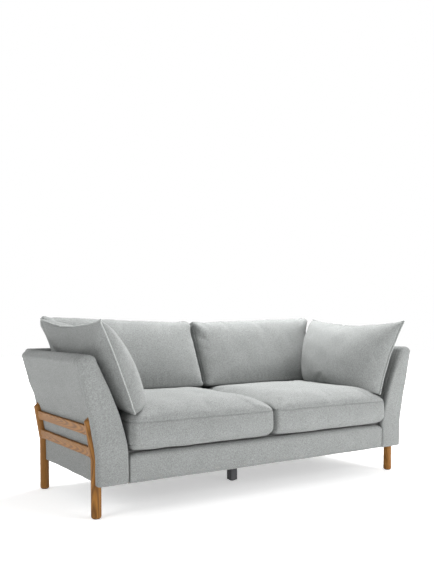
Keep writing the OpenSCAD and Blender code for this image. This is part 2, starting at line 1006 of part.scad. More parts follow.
// Cross-section of the pad half way along it. The outside follows the arm up to the rim, and
// the belly is given as shares of the thickness and of the height
outside_bend = [0.52, 0.56];
outside_rim = [12, 0.86];
belly = [[0.2, 0.86], [0.55, 0.68], [0.83, 0.48], [0.97, 0.31], [1, 0.16], [0.96, 0.05],
    [0.86, 0]];
rim_top = [0.3, 0.98];
module plump_outline() {
    t = side_cushion_t;
    h = side_cushion_h;
    outside = [[side_foot_x, rest_z],
        [side_foot_x + outside_bend[0] * h * side_lean, rest_z + outside_bend[1] * h],
        [side_rim_x(h) + outside_rim[0], rest_z + outside_rim[1] * h],
        [side_rim_x(h), side_top_z],
        [side_rim_x(h) - rim_top[0] * t, rest_z + rim_top[1] * h]];
    inside = [for (p = belly) [side_foot_x - p[0] * t, rest_z + p[1] * h]];
    polygon(concat(outside, inside));
}

module rim_corner(y, h) {
    translate([side_rim_x(h), y, rest_z + h]) sphere(r = rim_r, $fn = 16);
}

full_from = 0.25;
full_share = 0.45;
module side_cushion() {
    h = side_cushion_h;
    hull() {
        along_y(side_foot_y0 + full_from * side_cushion_l, full_share * side_cushion_l)
            plump_outline();
        rim_corner(side_foot_y0, rim_r - side_front_drop);
        rim_corner(side_foot_y0 - side_front_lean * h, h - rim_r);
        rim_corner(side_foot_y1, rim_r);
        rim_corner(side_foot_y1 + side_rear_lean * h, h - rim_r);
    }
}

module side_cushion_cover() {
    color("silver")
        difference() {
            side_cushion();
            fill_of(side_mid) side_cushion();
        }
}

module left_side_cover() {
    mirror([1, 0, 0]) side_cushion_cover();
}

module right_side_cover() {
    side_cushion_cover();
}

module left_side_fill() {
    color("ivory") mirror([1, 0, 0]) fill_of(side_mid) side_cushion();
}

module right_side_fill() {
    color("ivory") fill_of(side_mid) side_cushion();
}

front_rail();
rear_rail();
left_side_rail();
right_side_rail();
centre_rail();
corner_blocks();
front_border();
seat_springs();
spring_clips();
seat_pad();
deck_cloth();
dust_cover();
left_arm_boards();
right_arm_boards();
left_arm_rails();
right_arm_rails();
left_arm_cover();
right_arm_cover();
back_uprights();
back_top_rail();
back_bottom_rail();
back_webbing();
back_cover();
left_front_leg();
left_rear_leg();
right_front_leg();
right_rear_leg();
left_upper_slat();
left_lower_slat();
right_upper_slat();
right_lower_slat();
slat_dowels();
leg_inserts();
leg_bolts();
leg_washers();
frame_bolts();
frame_nuts();
centre_leg();
centre_leg_plate();
centre_leg_screws();
foot_glides();
left_seat_cover();
right_seat_cover();
left_back_cover();
right_back_cover();
left_side_cover();
right_side_cover();
left_seat_foam();
right_seat_foam();
left_back_fill();
right_back_fill();
left_side_fill();
right_side_fill();
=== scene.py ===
"""A two-seat-cushion sofa with flared padded arms and oak side frames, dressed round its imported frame."""

import math

import bpy
import numpy as np
from bpy.props import FloatProperty, FloatVectorProperty, PointerProperty
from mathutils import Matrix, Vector
from mathutils.kdtree import KDTree


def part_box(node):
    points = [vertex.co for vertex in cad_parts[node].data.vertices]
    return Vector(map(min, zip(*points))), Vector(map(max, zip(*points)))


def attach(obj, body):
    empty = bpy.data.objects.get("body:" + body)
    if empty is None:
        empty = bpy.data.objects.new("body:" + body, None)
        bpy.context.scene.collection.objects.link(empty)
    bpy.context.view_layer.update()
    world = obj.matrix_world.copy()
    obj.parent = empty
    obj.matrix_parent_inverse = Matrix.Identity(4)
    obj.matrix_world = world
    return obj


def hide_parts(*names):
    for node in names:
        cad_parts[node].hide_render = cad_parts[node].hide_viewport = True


bl_info = {
    "name": "Sofa with oak side frames",
    "version": (1, 0, 0),
    "blender": (4, 5, 0),
    "location": "3D View > Sidebar > Sofa",
    "description": "Builds the upholstery, cushions, oak side frames and studio of a sofa round its frame",
    "category": "Object",
}

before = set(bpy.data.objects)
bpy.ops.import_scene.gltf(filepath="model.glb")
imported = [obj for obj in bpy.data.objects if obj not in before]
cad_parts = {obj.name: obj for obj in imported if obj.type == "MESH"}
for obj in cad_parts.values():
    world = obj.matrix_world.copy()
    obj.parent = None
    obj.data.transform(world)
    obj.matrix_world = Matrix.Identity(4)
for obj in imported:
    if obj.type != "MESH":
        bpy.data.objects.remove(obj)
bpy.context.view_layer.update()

SIDES = {"left": -1, "right": 1}

# ---- Places, all worked out from the frame's own boxes ----

ARM_LO, ARM_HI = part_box("right_arm_cover")
BACK_LO, BACK_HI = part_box("back_cover")
BORDER_LO, BORDER_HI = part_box("front_border")
SEAT_LO, SEAT_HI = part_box("right_seat_cover")
BACK_CUSHION_LO, BACK_CUSHION_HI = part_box("right_back_cover")
SIDE_CUSHION_LO, SIDE_CUSHION_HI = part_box("right_side_cover")
FOOT_Z = ARM_LO.z
SHOULDER_Z = ARM_HI.z - 0.032
REST_Z = BACK_CUSHION_LO.z

# Sizes of the flare, which the boxes don't give; they repeat the part's own
FLARE_POWER = 1.4
FLARE_OUT = 0.090
FLARE_IN = 0.147
BACK_FLARE = 0.110
BEND_OUT_Z = FOOT_Z + 0.100
BEND_IN_Z = FOOT_Z + 0.135
LIP = 0.034
HOLLOW_DEPTH = 0.024
HOLLOW_TOP = 0.560
HOLLOW_FADE = 0.140
# The back cushions lean a little less than the straight part of the back's seat side
LEAN = math.atan2(0.09091, 0.2015) - math.radians(0.8)
SEAT_CROWN = 0.066
STITCH_LIFT = 0.0006
CUSHION_STITCH_LIFT = 0.0005
REST_BLEND = 0.006


def flare(z, start):
    """How far the flare has got at height z: 0 at start, 1 at the shoulder."""
    return (np.maximum(0, z - start) / (SHOULDER_Z - start)) ** FLARE_POWER


def smooth(t):
    """A smooth step from 0 to 1."""
    t = np.clip(t, 0, 1)
    return t * t * (3 - 2 * t)


def arm_outer(z, y=None):
    """Outside of the right arm; behind the front lip it is hollow, where the posts lie."""
    x = ARM_HI.x - FLARE_OUT * (1 - flare(z, BEND_OUT_Z))
    inside = 1.0 if y is None else smooth((y - ARM_LO.y - LIP + 0.006) / 0.012)
    return x - inside * HOLLOW_DEPTH * np.clip((HOLLOW_TOP - z) / HOLLOW_FADE, 0, 1)


def arm_inner(z):
    """Inside of the right arm."""
    return ARM_LO.x + FLARE_IN * flare(z, BEND_IN_Z)


def back_rear(z):
    """Rear face of the back."""
    return BACK_HI.y - BACK_FLARE * (1 - flare(z, BEND_OUT_Z))


def back_face(z):
    """Seat side of the back."""
    return BACK_LO.y + FLARE_IN * flare(z, BEND_IN_Z)


# ---- Mesh helpers ----


def grid_lines(length, step, fine, spots, spread=0.014):
    """Places from 0 to length, step apart, and only fine apart near each of the spots."""
    t = np.linspace(0, length, 3000)
    near = np.max([np.exp(-(((t - s) / spread) ** 2)) for s in spots], axis=0)
    density = 1 / (step + (fine - step) * near)
    run = np.concatenate([[0], np.cumsum((density[1:] + density[:-1]) / 2 * np.diff(t))])
    return np.interp(np.linspace(0, run[-1], int(round(run[-1])) + 1), run, t)


def box_shell(xs, ys, zs):
    """The six faces of a box as one closed grid: points, quads that face out, and the point numbers."""
    on = np.zeros((len(xs), len(ys), len(zs)), bool)
    on[[0, -1]] = on[:, [0, -1]] = on[:, :, [0, -1]] = True
    ids = np.full(on.shape, -1)
    ids[on] = np.arange(on.sum())
    i, j, k = np.nonzero(on)
    points = np.stack([xs[i], ys[j], zs[k]], 1)
    quads = []
    for side, turned in (
        (ids[0], True),
        (ids[-1], False),
        (ids[:, 0], False),
        (ids[:, -1], True),
        (ids[:, :, 0], True),
        (ids[:, :, -1], False),
    ):
        a, b, c, d = side[:-1, :-1], side[1:, :-1], side[1:, 1:], side[:-1, 1:]
        loop = (a, d, c, b) if turned else (a, b, c, d)
        quads.append(np.stack([q.ravel() for q in loop], 1))
    return points, np.concatenate(quads), ids


def rim_ids(grid):
    """Point numbers once round the edge of a square grid."""
    return np.concatenate([grid[:, 0], grid[-1, 1:], grid[-2::-1, -1], grid[0, -2:0:-1]])


def soften(p, size, near, far):
    """Rounds the edges of a box from 0 to size; near and far are the radii at its two ends, along each axis."""
    size = np.asarray(size, float)
    near = np.broadcast_to(near, p.shape)
    far = np.broadcast_to(far, p.shape)
    core = np.minimum(np.maximum(p, near), size - far)
    away = p - core
    radius = np.where(away < 0, near, far)
    unit = away / radius
    reach = np.abs(unit).max(1)
    length = np.linalg.norm(unit, axis=1)
    unit *= (reach / np.maximum(length, 1e-9))[:, None]
    return core + unit * radius


def columns(count, *values):
    """Three columns of count rows, from single numbers or whole columns."""
    return np.stack([np.broadcast_to(value, count) for value in values], 1)


def arch(t, power):
    """1 in the middle of 0 to 1, falling to 0 at both ends, flatter for a higher power."""
    return np.maximum(0, 1 - np.abs(2 * t - 1) ** power)


def ripple(p, wave, seed):
    """A smooth random swell of about -1 to 1 over points, with bumps about one wave across."""
    rng = np.random.default_rng(seed)
    total = np.zeros(len(p))
    for _ in range(9):
        way = rng.normal(size=3)
        way *= 2 * math.pi / wave * rng.uniform(0.6, 1.5) / np.linalg.norm(way)
        total += np.sin(p @ way + rng.uniform(0, 2 * math.pi))
    return total / 4.0


def normals_of(points, quads):
    """Unit normals at the points of a closed mesh."""
    a, b, c, d = (points[quads[:, n]] for n in range(4))
    face = np.cross(c - a, d - b)
    out = np.zeros_like(points)
    for n in range(4):
        np.add.at(out, quads[:, n], face)
    return out / np.maximum(np.linalg.norm(out, axis=1), 1e-12)[:, None]


def on_side(sign, points, faces, *paths):
    """A right-hand piece and the paths on it, turned over when they are for the left side."""
    if sign > 0:
        return (points, faces, *paths)
    mirror = (-1, 1, 1)
    return (points * mirror, [face[::-1] for face in faces], *(path * mirror for path in paths))


def make_mesh(name, points, faces, material):
    """A new smooth-shaded object at the origin, with its place in its mesh."""
    mesh = bpy.data.meshes.new(name)
    mesh.from_pydata([tuple(p) for p in points], [], [tuple(int(i) for i in f) for f in faces])
    mesh.update()
    mesh.shade_smooth()
    mesh.materials.append(material)
    return add_object(name, mesh)


def add_object(name, data):
    """A new object at the origin, in the scene."""
    thing = bpy.data.objects.new(name, data)
    bpy.context.scene.collection.objects.link(thing)
    return thing


def finish_piece(piece, body, replaced=()):
    """Rides a piece on its body and hides the nodes it stands for."""
    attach(piece, body)
    if replaced:
        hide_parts(*replaced)
    return piece


# ---- Cloth ----


def swell(points, quads, held, cap, slack=0.0):
    """How far each point of a closed shell moves when filled as cloth; held is how firmly each one stays."""
    frames = 20
    mesh = bpy.data.meshes.new("filling_trial")
    mesh.from_pydata([tuple(p) for p in points], [], [tuple(int(i) for i in f) for f in quads])
    trial = add_object("filling_trial", mesh)
    scene = bpy.context.scene
    group = trial.vertex_groups.new(name="held")
    for level in np.unique(np.round(held, 2)):
        if level > 0:
            members = np.nonzero(np.round(held, 2) == level)[0]
            group.add([int(n) for n in members], float(level), "REPLACE")
    cloth = trial.modifiers.new("Cloth", "CLOTH")
    settings = cloth.settings
    settings.quality = 6
    settings.mass = 0.35
    settings.tension_stiffness = settings.compression_stiffness = 12
    settings.shear_stiffness = 6
    settings.bending_stiffness = 0.6
    settings.use_pressure = True
    settings.uniform_pressure_force = scene.sofa_filling.pressure
    settings.shrink_min = -slack
    settings.vertex_group_mass = "held"
    settings.pin_stiffness = 1.0
    settings.effector_weights.gravity = 0
    cloth.collision_settings.use_collision = False
    cloth.collision_settings.use_self_collision = False
    cloth.point_cache.frame_start = 1
    cloth.point_cache.frame_end = frames
    for step in range(1, frames + 1):
        scene.frame_set(step)
    filled = trial.evaluated_get(bpy.context.evaluated_depsgraph_get())
    place = np.empty(len(points) * 3, np.float32)
    filled.data.vertices.foreach_get("co", place)
    move = place.reshape(-1, 3).astype(float) - points
    scene.frame_set(1)
    bpy.data.objects.remove(trial)
    bpy.data.meshes.remove(mesh)
    far = np.linalg.norm(move, axis=1)
    return move * (cap * np.tanh(far / cap) / np.maximum(far, 1e-9))[:, None]


def carry(coarse, moves, fine):
    """The moves of a coarse shell's points, spread smoothly over a finer shell."""
    tree = KDTree(len(coarse))
    for n, p in enumerate(coarse):
        tree.insert(p, n)
    tree.balance()
    out = np.zeros_like(fine)
    for n, p in enumerate(fine):
        found = tree.find_n(p, 6)
        weight = np.array([1 / (d * d + 1e-6) for _, _, d in found])
        out[n] = (moves[[i for _, i, _ in found]] * weight[:, None]).sum(0) / weight.sum()
    return out


# ---- Node trees ----


def plug(tree, node, inputs):
    """Sets a node's inputs to plain values, or links them to other nodes' outputs."""
    for key, value in inputs.items():
        if isinstance(value, bpy.types.NodeSocket):
            tree.links.new(value, node.inputs[key])
        else:
            node.inputs[key].default_value = value


def add_node(tree, kind, inputs=None, **values):
    """A node with its settings and inputs."""
    node = tree.nodes.new(kind)
    for key, value in values.items():
        setattr(node, key, value)
    plug(tree, node, inputs or {})
    return node


def result_of(tree, kind, inputs=None, **values):
    """The first output of a new node."""
    return add_node(tree, kind, inputs, **values).outputs[0]


def new_material(name):
    """An empty material with its shader and output."""
    material = bpy.data.materials.new(name)
    material.use_nodes = True
    tree = material.node_tree
    tree.nodes.clear()
    shader = add_node(tree, "ShaderNodeBsdfPrincipled")
    out = add_node(tree, "ShaderNodeOutputMaterial")
    tree.links.new(shader.outputs[0], out.inputs[0])
    return material, tree, shader


def math_node(tree, operation, a, b=0.0, c=0.5):
    """One sum; c is what MULTIPLY_ADD adds."""
    return result_of(tree, "ShaderNodeMath", {0: a, 1: b, 2: c}, operation=operation)


def multiply_colours(tree, share, a, b):
    """Colour a, with a share of it multiplied by colour b."""
    node = add_node(tree, "ShaderNodeMix", {0: share}, data_type="RGBA", blend_type="MULTIPLY")
    tree.links.new(a, node.inputs[6])
    tree.links.new(b, node.inputs[7])
    return node.outputs[2]


def noise_at(tree, vector, scale, detail, roughness):
    """Random tone between 0 and 1, with scale bumps to the metre."""
    inputs = {"Vector": vector, "Scale": scale, "Detail": detail, "Roughness": roughness}
    return add_node(tree, "ShaderNodeTexNoise", inputs).outputs["Fac"]


def ramp(tree, factor, stops):
    """Colours picked by a factor, from stops of (place, colour)."""
    node = add_node(tree, "ShaderNodeValToRGB", {0: factor})
    band = node.color_ramp
    while len(band.elements) < len(stops):
        band.elements.new(0.5)
    for element, (place, colour) in zip(band.elements, stops):
        element.position = place
        element.color = colour
    return node.outputs[0]


def bump(tree, height, strength, distance):
    """A normal for fine relief, distance high in metres."""
    inputs = {"Height": height, "Strength": strength, "Distance": distance}
    return result_of(tree, "ShaderNodeBump", inputs)


def coordinates(tree):
    """The place on the object, in metres."""
    return add_node(tree, "ShaderNodeTexCoord").outputs["Object"]


def scaled(tree, place, scale):
    """A place stretched along the axes whose scale is small."""
    return result_of(tree, "ShaderNodeMapping", {"Vector": place, "Scale": scale})


def grey(level):
    """A neutral colour."""
    return (level, level, level, 1)


def shade(colour, factor):
    """A colour made lighter or darker."""
    return tuple(c * factor for c in colour[:3]) + (1.0,)


# ---- Materials ----


def weave_height(tree, place, pitch):
    """Over-and-under threads of a plain weave on any face, from three crossed waves."""
    split = add_node(tree, "ShaderNodeSeparateXYZ", {0: place})
    k = 2 * math.pi / pitch
    waves = [math_node(tree, "SINE", math_node(tree, "MULTIPLY", split.outputs[n], k)) for n in range(3)]
    pairs = [math_node(tree, "MULTIPLY", waves[a], waves[b]) for a, b in ((0, 1), (1, 2), (0, 2))]
    total = math_node(tree, "ADD", math_node(tree, "ADD", pairs[0], pairs[1]), pairs[2])
    return math_node(tree, "MULTIPLY_ADD", total, 0.33, 0.5)


def woven_fabric(name, colour, pitch, fleck, sheen=0.15, relief=0.0006):
    """A woven cloth: flecked yarns, a fine weave and a slight change of tone over each panel."""
    material, tree, shader = new_material(name)
    place = coordinates(tree)
    tuft = noise_at(tree, place, 190, 4, 0.8)
    cloud = noise_at(tree, place, 9, 2, 0.5)
    yarn = noise_at(tree, place, 640, 2, 0.6)
    tone = math_node(tree, "MULTIPLY_ADD", tuft, 0.62, math_node(tree, "MULTIPLY", yarn, 0.38))
    dark, light = shade(colour, 1 - 2.2 * fleck), shade(colour, 1 + 2.0 * fleck)
    flecked = ramp(tree, tone, [(0.30, dark), (0.50, shade(colour, 1)), (0.70, light)])
    panel_tone = ramp(tree, cloud, [(0.3, grey(0.965)), (0.7, grey(1.03))])
    height = math_node(tree, "MULTIPLY_ADD", yarn, 0.8, weave_height(tree, place, pitch))
    plug(tree, shader, {
        "Base Color": multiply_colours(tree, 1.0, flecked, panel_tone),
        "Normal": bump(tree, height, 0.55, relief),
        "Roughness": 0.92,
        "Specular IOR Level": 0.2,
        "Sheen Weight": sheen,
        "Sheen Roughness": 0.5,
    })
    return material


def oak_finish(name, light, dark, ring):
    """Oiled oak: rings cut lengthwise into arches, fine pores along the grain and a little polish."""
    material, tree, shader = new_material(name)
    place = add_node(tree, "ShaderNodeAttribute", attribute_name="grain").outputs["Vector"]
    stretched = scaled(tree, place, (1.0, 1.0, 0.12))
    wander = add_node(tree, "ShaderNodeTexNoise", {"Vector": stretched, "Scale": 14.0, "Detail": 3.0})
    push = {0: wander.outputs["Color"], 1: (0.5, 0.5, 0.5)}
    push = add_node(tree, "ShaderNodeVectorMath", push, operation="SUBTRACT")
    push = add_node(tree, "ShaderNodeVectorMath", {0: push.outputs[0], "Scale": 0.022}, operation="SCALE")
    bent = add_node(tree, "ShaderNodeVectorMath", {0: place, 1: push.outputs[0]}, operation="ADD")
    x, y, z = add_node(tree, "ShaderNodeSeparateXYZ", {0: bent.outputs[0]}).outputs
    # The middle of the tree runs nearly along the piece, so its rings come out as long arches
    across = math_node(tree, "MULTIPLY_ADD", z, 0.075, x)
    squares = [math_node(tree, "POWER", side, 2.0) for side in (across, y)]
    radius = math_node(tree, "SQRT", math_node(tree, "ADD", *squares))
    turn = math_node(tree, "MULTIPLY", radius, 2 * math.pi / ring)
    rings = math_node(tree, "MULTIPLY_ADD", math_node(tree, "SINE", turn), 0.5, 0.5)
    fibre = noise_at(tree, scaled(tree, place, (1.0, 1.0, 0.035)), 620, 3, 0.6)
    broad = noise_at(tree, stretched, 30, 2, 0.5)
    tone = math_node(tree, "MULTIPLY", rings, 0.42)
    tone = math_node(tree, "MULTIPLY_ADD", fibre, 0.38, tone)
    tone = math_node(tree, "MULTIPLY_ADD", broad, 0.32, tone)
    middle = tuple((a + b) / 2 for a, b in zip(light, dark))
    base = ramp(tree, tone, [(0.25, shade(dark, 1)), (0.50, shade(middle, 1)), (0.80, shade(light, 1))])
    pores = ramp(tree, fibre, [(0.30, (0.55, 0.50, 0.45, 1)), (0.42, grey(1))])
    plug(tree, shader, {
        "Base Color": multiply_colours(tree, 0.75, base, pores),
        "Roughness": math_node(tree, "MULTIPLY_ADD", fibre, -0.18, 0.62),
        "Normal": bump(tree, tone, 0.35, 0.0006),
        "Specular IOR Level": 0.22,
    })
    return material


def plain_wood(name, light, dark, along, streak=0.009):
    """Planed timber and plywood, with its grain along X, Y or Z and streaks about one streak wide."""
    material, tree, shader = new_material(name)
    scale = tuple(0.06 if axis == along else 1.0 for axis in "XYZ")
    stretched = scaled(tree, coordinates(tree), scale)
    wander = noise_at(tree, stretched, 22, 3, 0.6)
    streaks = noise_at(tree, stretched, 1 / streak, 4, 0.65)
    tone = math_node(tree, "MULTIPLY_ADD", wander, 0.5, math_node(tree, "MULTIPLY", streaks, 0.5))
    colour = ramp(tree, tone, [(0.32, shade(dark, 1)), (0.68, shade(light, 1))])
    relief = bump(tree, streaks, 0.3, 0.0005)
    plug(tree, shader, {"Base Color": colour, "Normal": relief, "Roughness": 0.68})
    return material


def worn_metal(name, colour, roughness):
    """Plated or drawn metal with fine scratches and a little dullness."""
    material, tree, shader = new_material(name)
    place = coordinates(tree)
    dull = noise_at(tree, place, 60, 3, 0.6)
    scratches = noise_at(tree, scaled(tree, place, (1, 1, 9)), 700, 2, 0.5)
    tone = ramp(tree, dull, [(0.35, shade(colour, 0.86)), (0.65, shade(colour, 1.06))])
    dulled = math_node(tree, "MULTIPLY_ADD", scratches, 0.12, roughness)
    relief = bump(tree, scratches, 0.15, 0.0003)
    plug(tree, shader, {"Base Color": tone, "Roughness": dulled, "Normal": relief, "Metallic": 1.0})
    return material


def grained_solid(name, colour, roughness, scale, relief, spread=0.10, specular=0.4):
    """Coating, plastic, felt or thread: one colour with a fine grain in tone and surface."""
    material, tree, shader = new_material(name)
    grain = noise_at(tree, coordinates(tree), scale, 3, 0.65)
    tone = ramp(tree, grain, [(0.32, shade(colour, 1 - spread)), (0.68, shade(colour, 1 + spread))])
    normal = bump(tree, grain, 0.4, relief)
    looks = {"Base Color": tone, "Normal": normal, "Roughness": roughness, "Specular IOR Level": specular}
    plug(tree, shader, looks)
    return material


_finishes = {}


def make_finish(name):
    """One finish, from the sofa's settings."""
    cloth, oak = bpy.context.scene.sofa_cloth, bpy.context.scene.sofa_oak
    cover = tuple(cloth.colour)
    yarn = {"pitch": cloth.weave, "fleck": cloth.fleck, "sheen": cloth.sheen}
    pine = ((0.70, 0.52, 0.32), (0.54, 0.37, 0.20))
    black = (0.03, 0.03, 0.03)
    makers = {
        "cover_fabric": lambda: woven_fabric(name, cover, **yarn),
        "piping_fabric": lambda: woven_fabric(name, shade(cover, 1.7), **yarn),
        "sewing_thread": lambda: grained_solid(name, shade(cover, 0.8), 0.8, 900, 0.0002),
        "platform_cloth": lambda: woven_fabric(name, (0.16, 0.165, 0.165), 0.0024, 0.12, relief=0.0005),
        "lining_felt": lambda: grained_solid(name, (0.022, 0.022, 0.023), 0.95, 420, 0.0006, 0.35, 0.1),
        "pad_felt": lambda: grained_solid(name, (0.10, 0.10, 0.098), 0.95, 300, 0.0015, 0.3, 0.1),
        "oak": lambda: oak_finish(name, tuple(oak.light), tuple(oak.dark), oak.ring),
        "beech": lambda: plain_wood(name, (0.62, 0.42, 0.25), (0.50, 0.32, 0.18), "Y"),
        "plywood": lambda: plain_wood(name, (0.66, 0.50, 0.32), (0.50, 0.36, 0.21), "Z", 0.004),
        "softwood_x": lambda: plain_wood(name, *pine, "X"),
        "softwood_y": lambda: plain_wood(name, *pine, "Y"),
        "elastic_web": lambda: woven_fabric(name, (0.05, 0.05, 0.052), 0.003, 0.2, relief=0.001),
        "spring_wire": lambda: worn_metal(name, (0.30, 0.30, 0.31), 0.34),
        "zinc_plate": lambda: worn_metal(name, (0.62, 0.63, 0.66), 0.28),
        "brass": lambda: worn_metal(name, (0.68, 0.48, 0.20), 0.26),
        "dark_stain": lambda: plain_wood(name, (0.080, 0.081, 0.086), (0.052, 0.053, 0.058), "Z"),
        "black_coat": lambda: grained_solid(name, black, 0.5, 800, 0.0002, 0.2),
        "nylon": lambda: grained_solid(name, (0.04, 0.04, 0.042), 0.45, 500, 0.0002, 0.15),
    }
    return makers[name]()


def finish(name):
    """Each finish is made once and shared by the pieces that have it."""
    if name not in _finishes:
        _finishes[name] = make_finish(name)
    return _finishes[name]


# ---- Stitches and piping: Geometry Nodes that follow a path ----


def path_tree(name, floats):
    """A new tree with a path coming in, named sizes, and a mesh going out."""
    tree = bpy.data.node_groups.new(name, "GeometryNodeTree")
    tree.interface.new_socket("Path", in_out="INPUT", socket_type="NodeSocketGeometry")
    for label, value in floats.items():
        socket = tree.interface.new_socket(label, in_out="INPUT", socket_type="NodeSocketFloat")
        socket.default_value = value
        socket.subtype = "DISTANCE"
    tree.interface.new_socket("Mesh", in_out="OUTPUT", socket_type="NodeSocketGeometry")
    given = add_node(tree, "NodeGroupInput").outputs
    result = add_node(tree, "NodeGroupOutput").inputs[0]
    curve = result_of(tree, "GeometryNodeMeshToCurve", {"Mesh": given["Path"]})
    return tree, given, curve, result


def stitch_tree(material):
    """Short rounded stitches laid along a path."""
    sizes = {"Spacing": 0.006, "Length": 0.0042, "Thickness": 0.0011}
    tree, given, curve, result = path_tree("seam_stitches", sizes)
    spots = {"Curve": curve, "Length": given["Spacing"]}
    spots = result_of(tree, "GeometryNodeResampleCurve", spots, mode="LENGTH")
    tangent = result_of(tree, "GeometryNodeInputTangent")
    turn = result_of(tree, "FunctionNodeAlignRotationToVector", {"Vector": tangent}, axis="Z")
    radius = math_node(tree, "MULTIPLY", given["Thickness"], 0.5)
    thread = {"Vertices": 6, "Radius": radius, "Depth": given["Length"]}
    thread = result_of(tree, "GeometryNodeMeshCylinder", thread)
    laid = {"Points": spots, "Instance": thread, "Rotation": turn}
    laid = result_of(tree, "GeometryNodeInstanceOnPoints", laid)
    whole = result_of(tree, "GeometryNodeRealizeInstances", {0: laid})
    dressed = add_node(tree, "GeometryNodeSetMaterial", {"Geometry": whole, "Material": material})
    tree.links.new(dressed.outputs[0], result)
    return tree


def piping_tree(material):
    """A round fabric-covered cord along a path."""
    tree, given, curve, result = path_tree("edge_piping", {"Thickness": 0.006})
    even = {"Curve": curve, "Length": 0.006}
    even = result_of(tree, "GeometryNodeResampleCurve", even, mode="LENGTH")
    radius = math_node(tree, "MULTIPLY", given["Thickness"], 0.5)
    circle = result_of(tree, "GeometryNodeCurvePrimitiveCircle", {"Resolution": 10, "Radius": radius})
    tube = {"Curve": even, "Profile Curve": circle, "Fill Caps": True}
    tube = result_of(tree, "GeometryNodeCurveToMesh", tube)
    smoothed = result_of(tree, "GeometryNodeSetShadeSmooth", {"Geometry": tube})
    dressed = add_node(tree, "GeometryNodeSetMaterial", {"Geometry": smoothed, "Material": material})
    tree.links.new(dressed.outputs[0], result)
    return tree


def along_paths(name, paths, tree, values):
    """Runs a path tree over closed or open paths, given as (points, closed), and keeps the plain mesh."""
    points, edges = [], []
    for path, closed in paths:
        start = len(points)
        points += [tuple(p) for p in path]
        edges += [(start + n, start + n + 1) for n in range(len(path) - 1)]
        if closed:
            edges.append((len(points) - 1, start))
    mesh = bpy.data.meshes.new(name + "_path")
    mesh.from_pydata(points, edges, [])
    guide = add_object(name + "_path", mesh)
    modifier = guide.modifiers.new("Run", "NODES")
    modifier.node_group = tree
    for item in tree.interface.items_tree:
        if item.item_type == "SOCKET" and item.in_out == "INPUT" and item.name in values:
            modifier[item.identifier] = values[item.name]
    depsgraph = bpy.context.evaluated_depsgraph_get()
    made = bpy.data.meshes.new_from_object(guide.evaluated_get(depsgraph), depsgraph=depsgraph)
    made.name = name
    guide.modifiers.clear()
    bpy.data.objects.remove(guide)
    return add_object(name, made)


def stitch_paths(name, paths, body):
    """Stitches along paths, riding on a body."""
    tree = bpy.data.node_groups.get("seam_stitches") or stitch_tree(finish("sewing_thread"))
    piece = along_paths(name, paths, tree, {"Spacing": bpy.context.scene.sofa_cloth.stitch})
    return finish_piece(piece, body)


def piping_paths(name, paths, body):
    """Piping along paths, riding on a body."""
    tree = bpy.data.node_groups.get("edge_piping") or piping_tree(finish("piping_fabric"))
    piece = along_paths(name, paths, tree, {"Thickness": bpy.context.scene.sofa_cloth.piping})
    return finish_piece(piece, body)


def groove(points, normals, place, at, depth, width):
    """Pulls a shell in along a sewn line; place is where each point lies across the line."""
    pull = depth * np.exp(-(((place - at) / width) ** 2))
    return points - normals * pull[:, None]


def lifted(points, normals, ids, lift):
    """The path through some of the points, just clear of the shell."""
    return points[ids] + normals[ids] * lift


# ---- Upholstered frame ----


def build_arm(side, sign):
    """One padded arm: flared, round-topped, with a front lip proud of the hollow behind the posts."""
    thick, length, height = 0.120, ARM_HI.y - ARM_LO.y, ARM_HI.z - ARM_LO.z
    xs = grid_lines(thick, 0.0075, 0.003, (0, thick), 0.02)
    ys = grid_lines(length, 0.008, 0.0025, (0, LIP, length), 0.016)
    zs = grid_lines(height, 0.008, 0.003, (0, height), 0.03)
    box, quads, ids = box_shell(xs, ys, zs)
    roll = 0.16
    rise = smooth((box[:, 2] - height + roll) / roll)
    near = columns(len(box), 0.012 + 0.042 * rise, 0.016, 0.010)
    far = columns(len(box), 0.016 + 0.046 * rise, 0.016, 0.036)
    p = soften(box, (thick, length, height), near, far)
    across, along, up = (p / (thick, length, height)).T
    y, z = ARM_LO.y + p[:, 1], ARM_LO.z + p[:, 2]
    inner = arm_inner(np.minimum(z, SHOULDER_Z))
    outer = arm_outer(np.minimum(z, SHOULDER_Z), y)
    points = np.stack([inner + across * (outer - inner), y, z], 1)
    # The padding is a little full on the front and on the outside
    points[:, 1] -= (box[:, 1] < 1e-6) * 0.004 * arch(across, 2) * arch(up, 6)
    points[:, 0] += (box[:, 0] > thick - 1e-6) * 0.003 * arch(along, 4) * arch(up, 4)
    normals = normals_of(points, quads)
    points += normals * (0.0009 * ripple(points, 0.16, 11))[:, None]
    j = int(np.argmin(np.abs(ys - LIP)))
    seam_depth = bpy.context.scene.sofa_cloth.seam_depth * 0.8
    points = groove(points, normals, box[:, 1], ys[j], seam_depth, 0.0028)
    seam = lifted(points, normals, rim_ids(ids[:, j, :]), STITCH_LIFT)
    points, quads, seam = on_side(sign, points, quads, seam)
    arm = make_mesh(f"{side}_arm_upholstery", points, quads, finish("cover_fabric"))
    finish_piece(arm, "frame", [f"{side}_arm_cover"])
    stitch_paths(f"{side}_arm_seam_stitches", [(seam, True)], "frame")


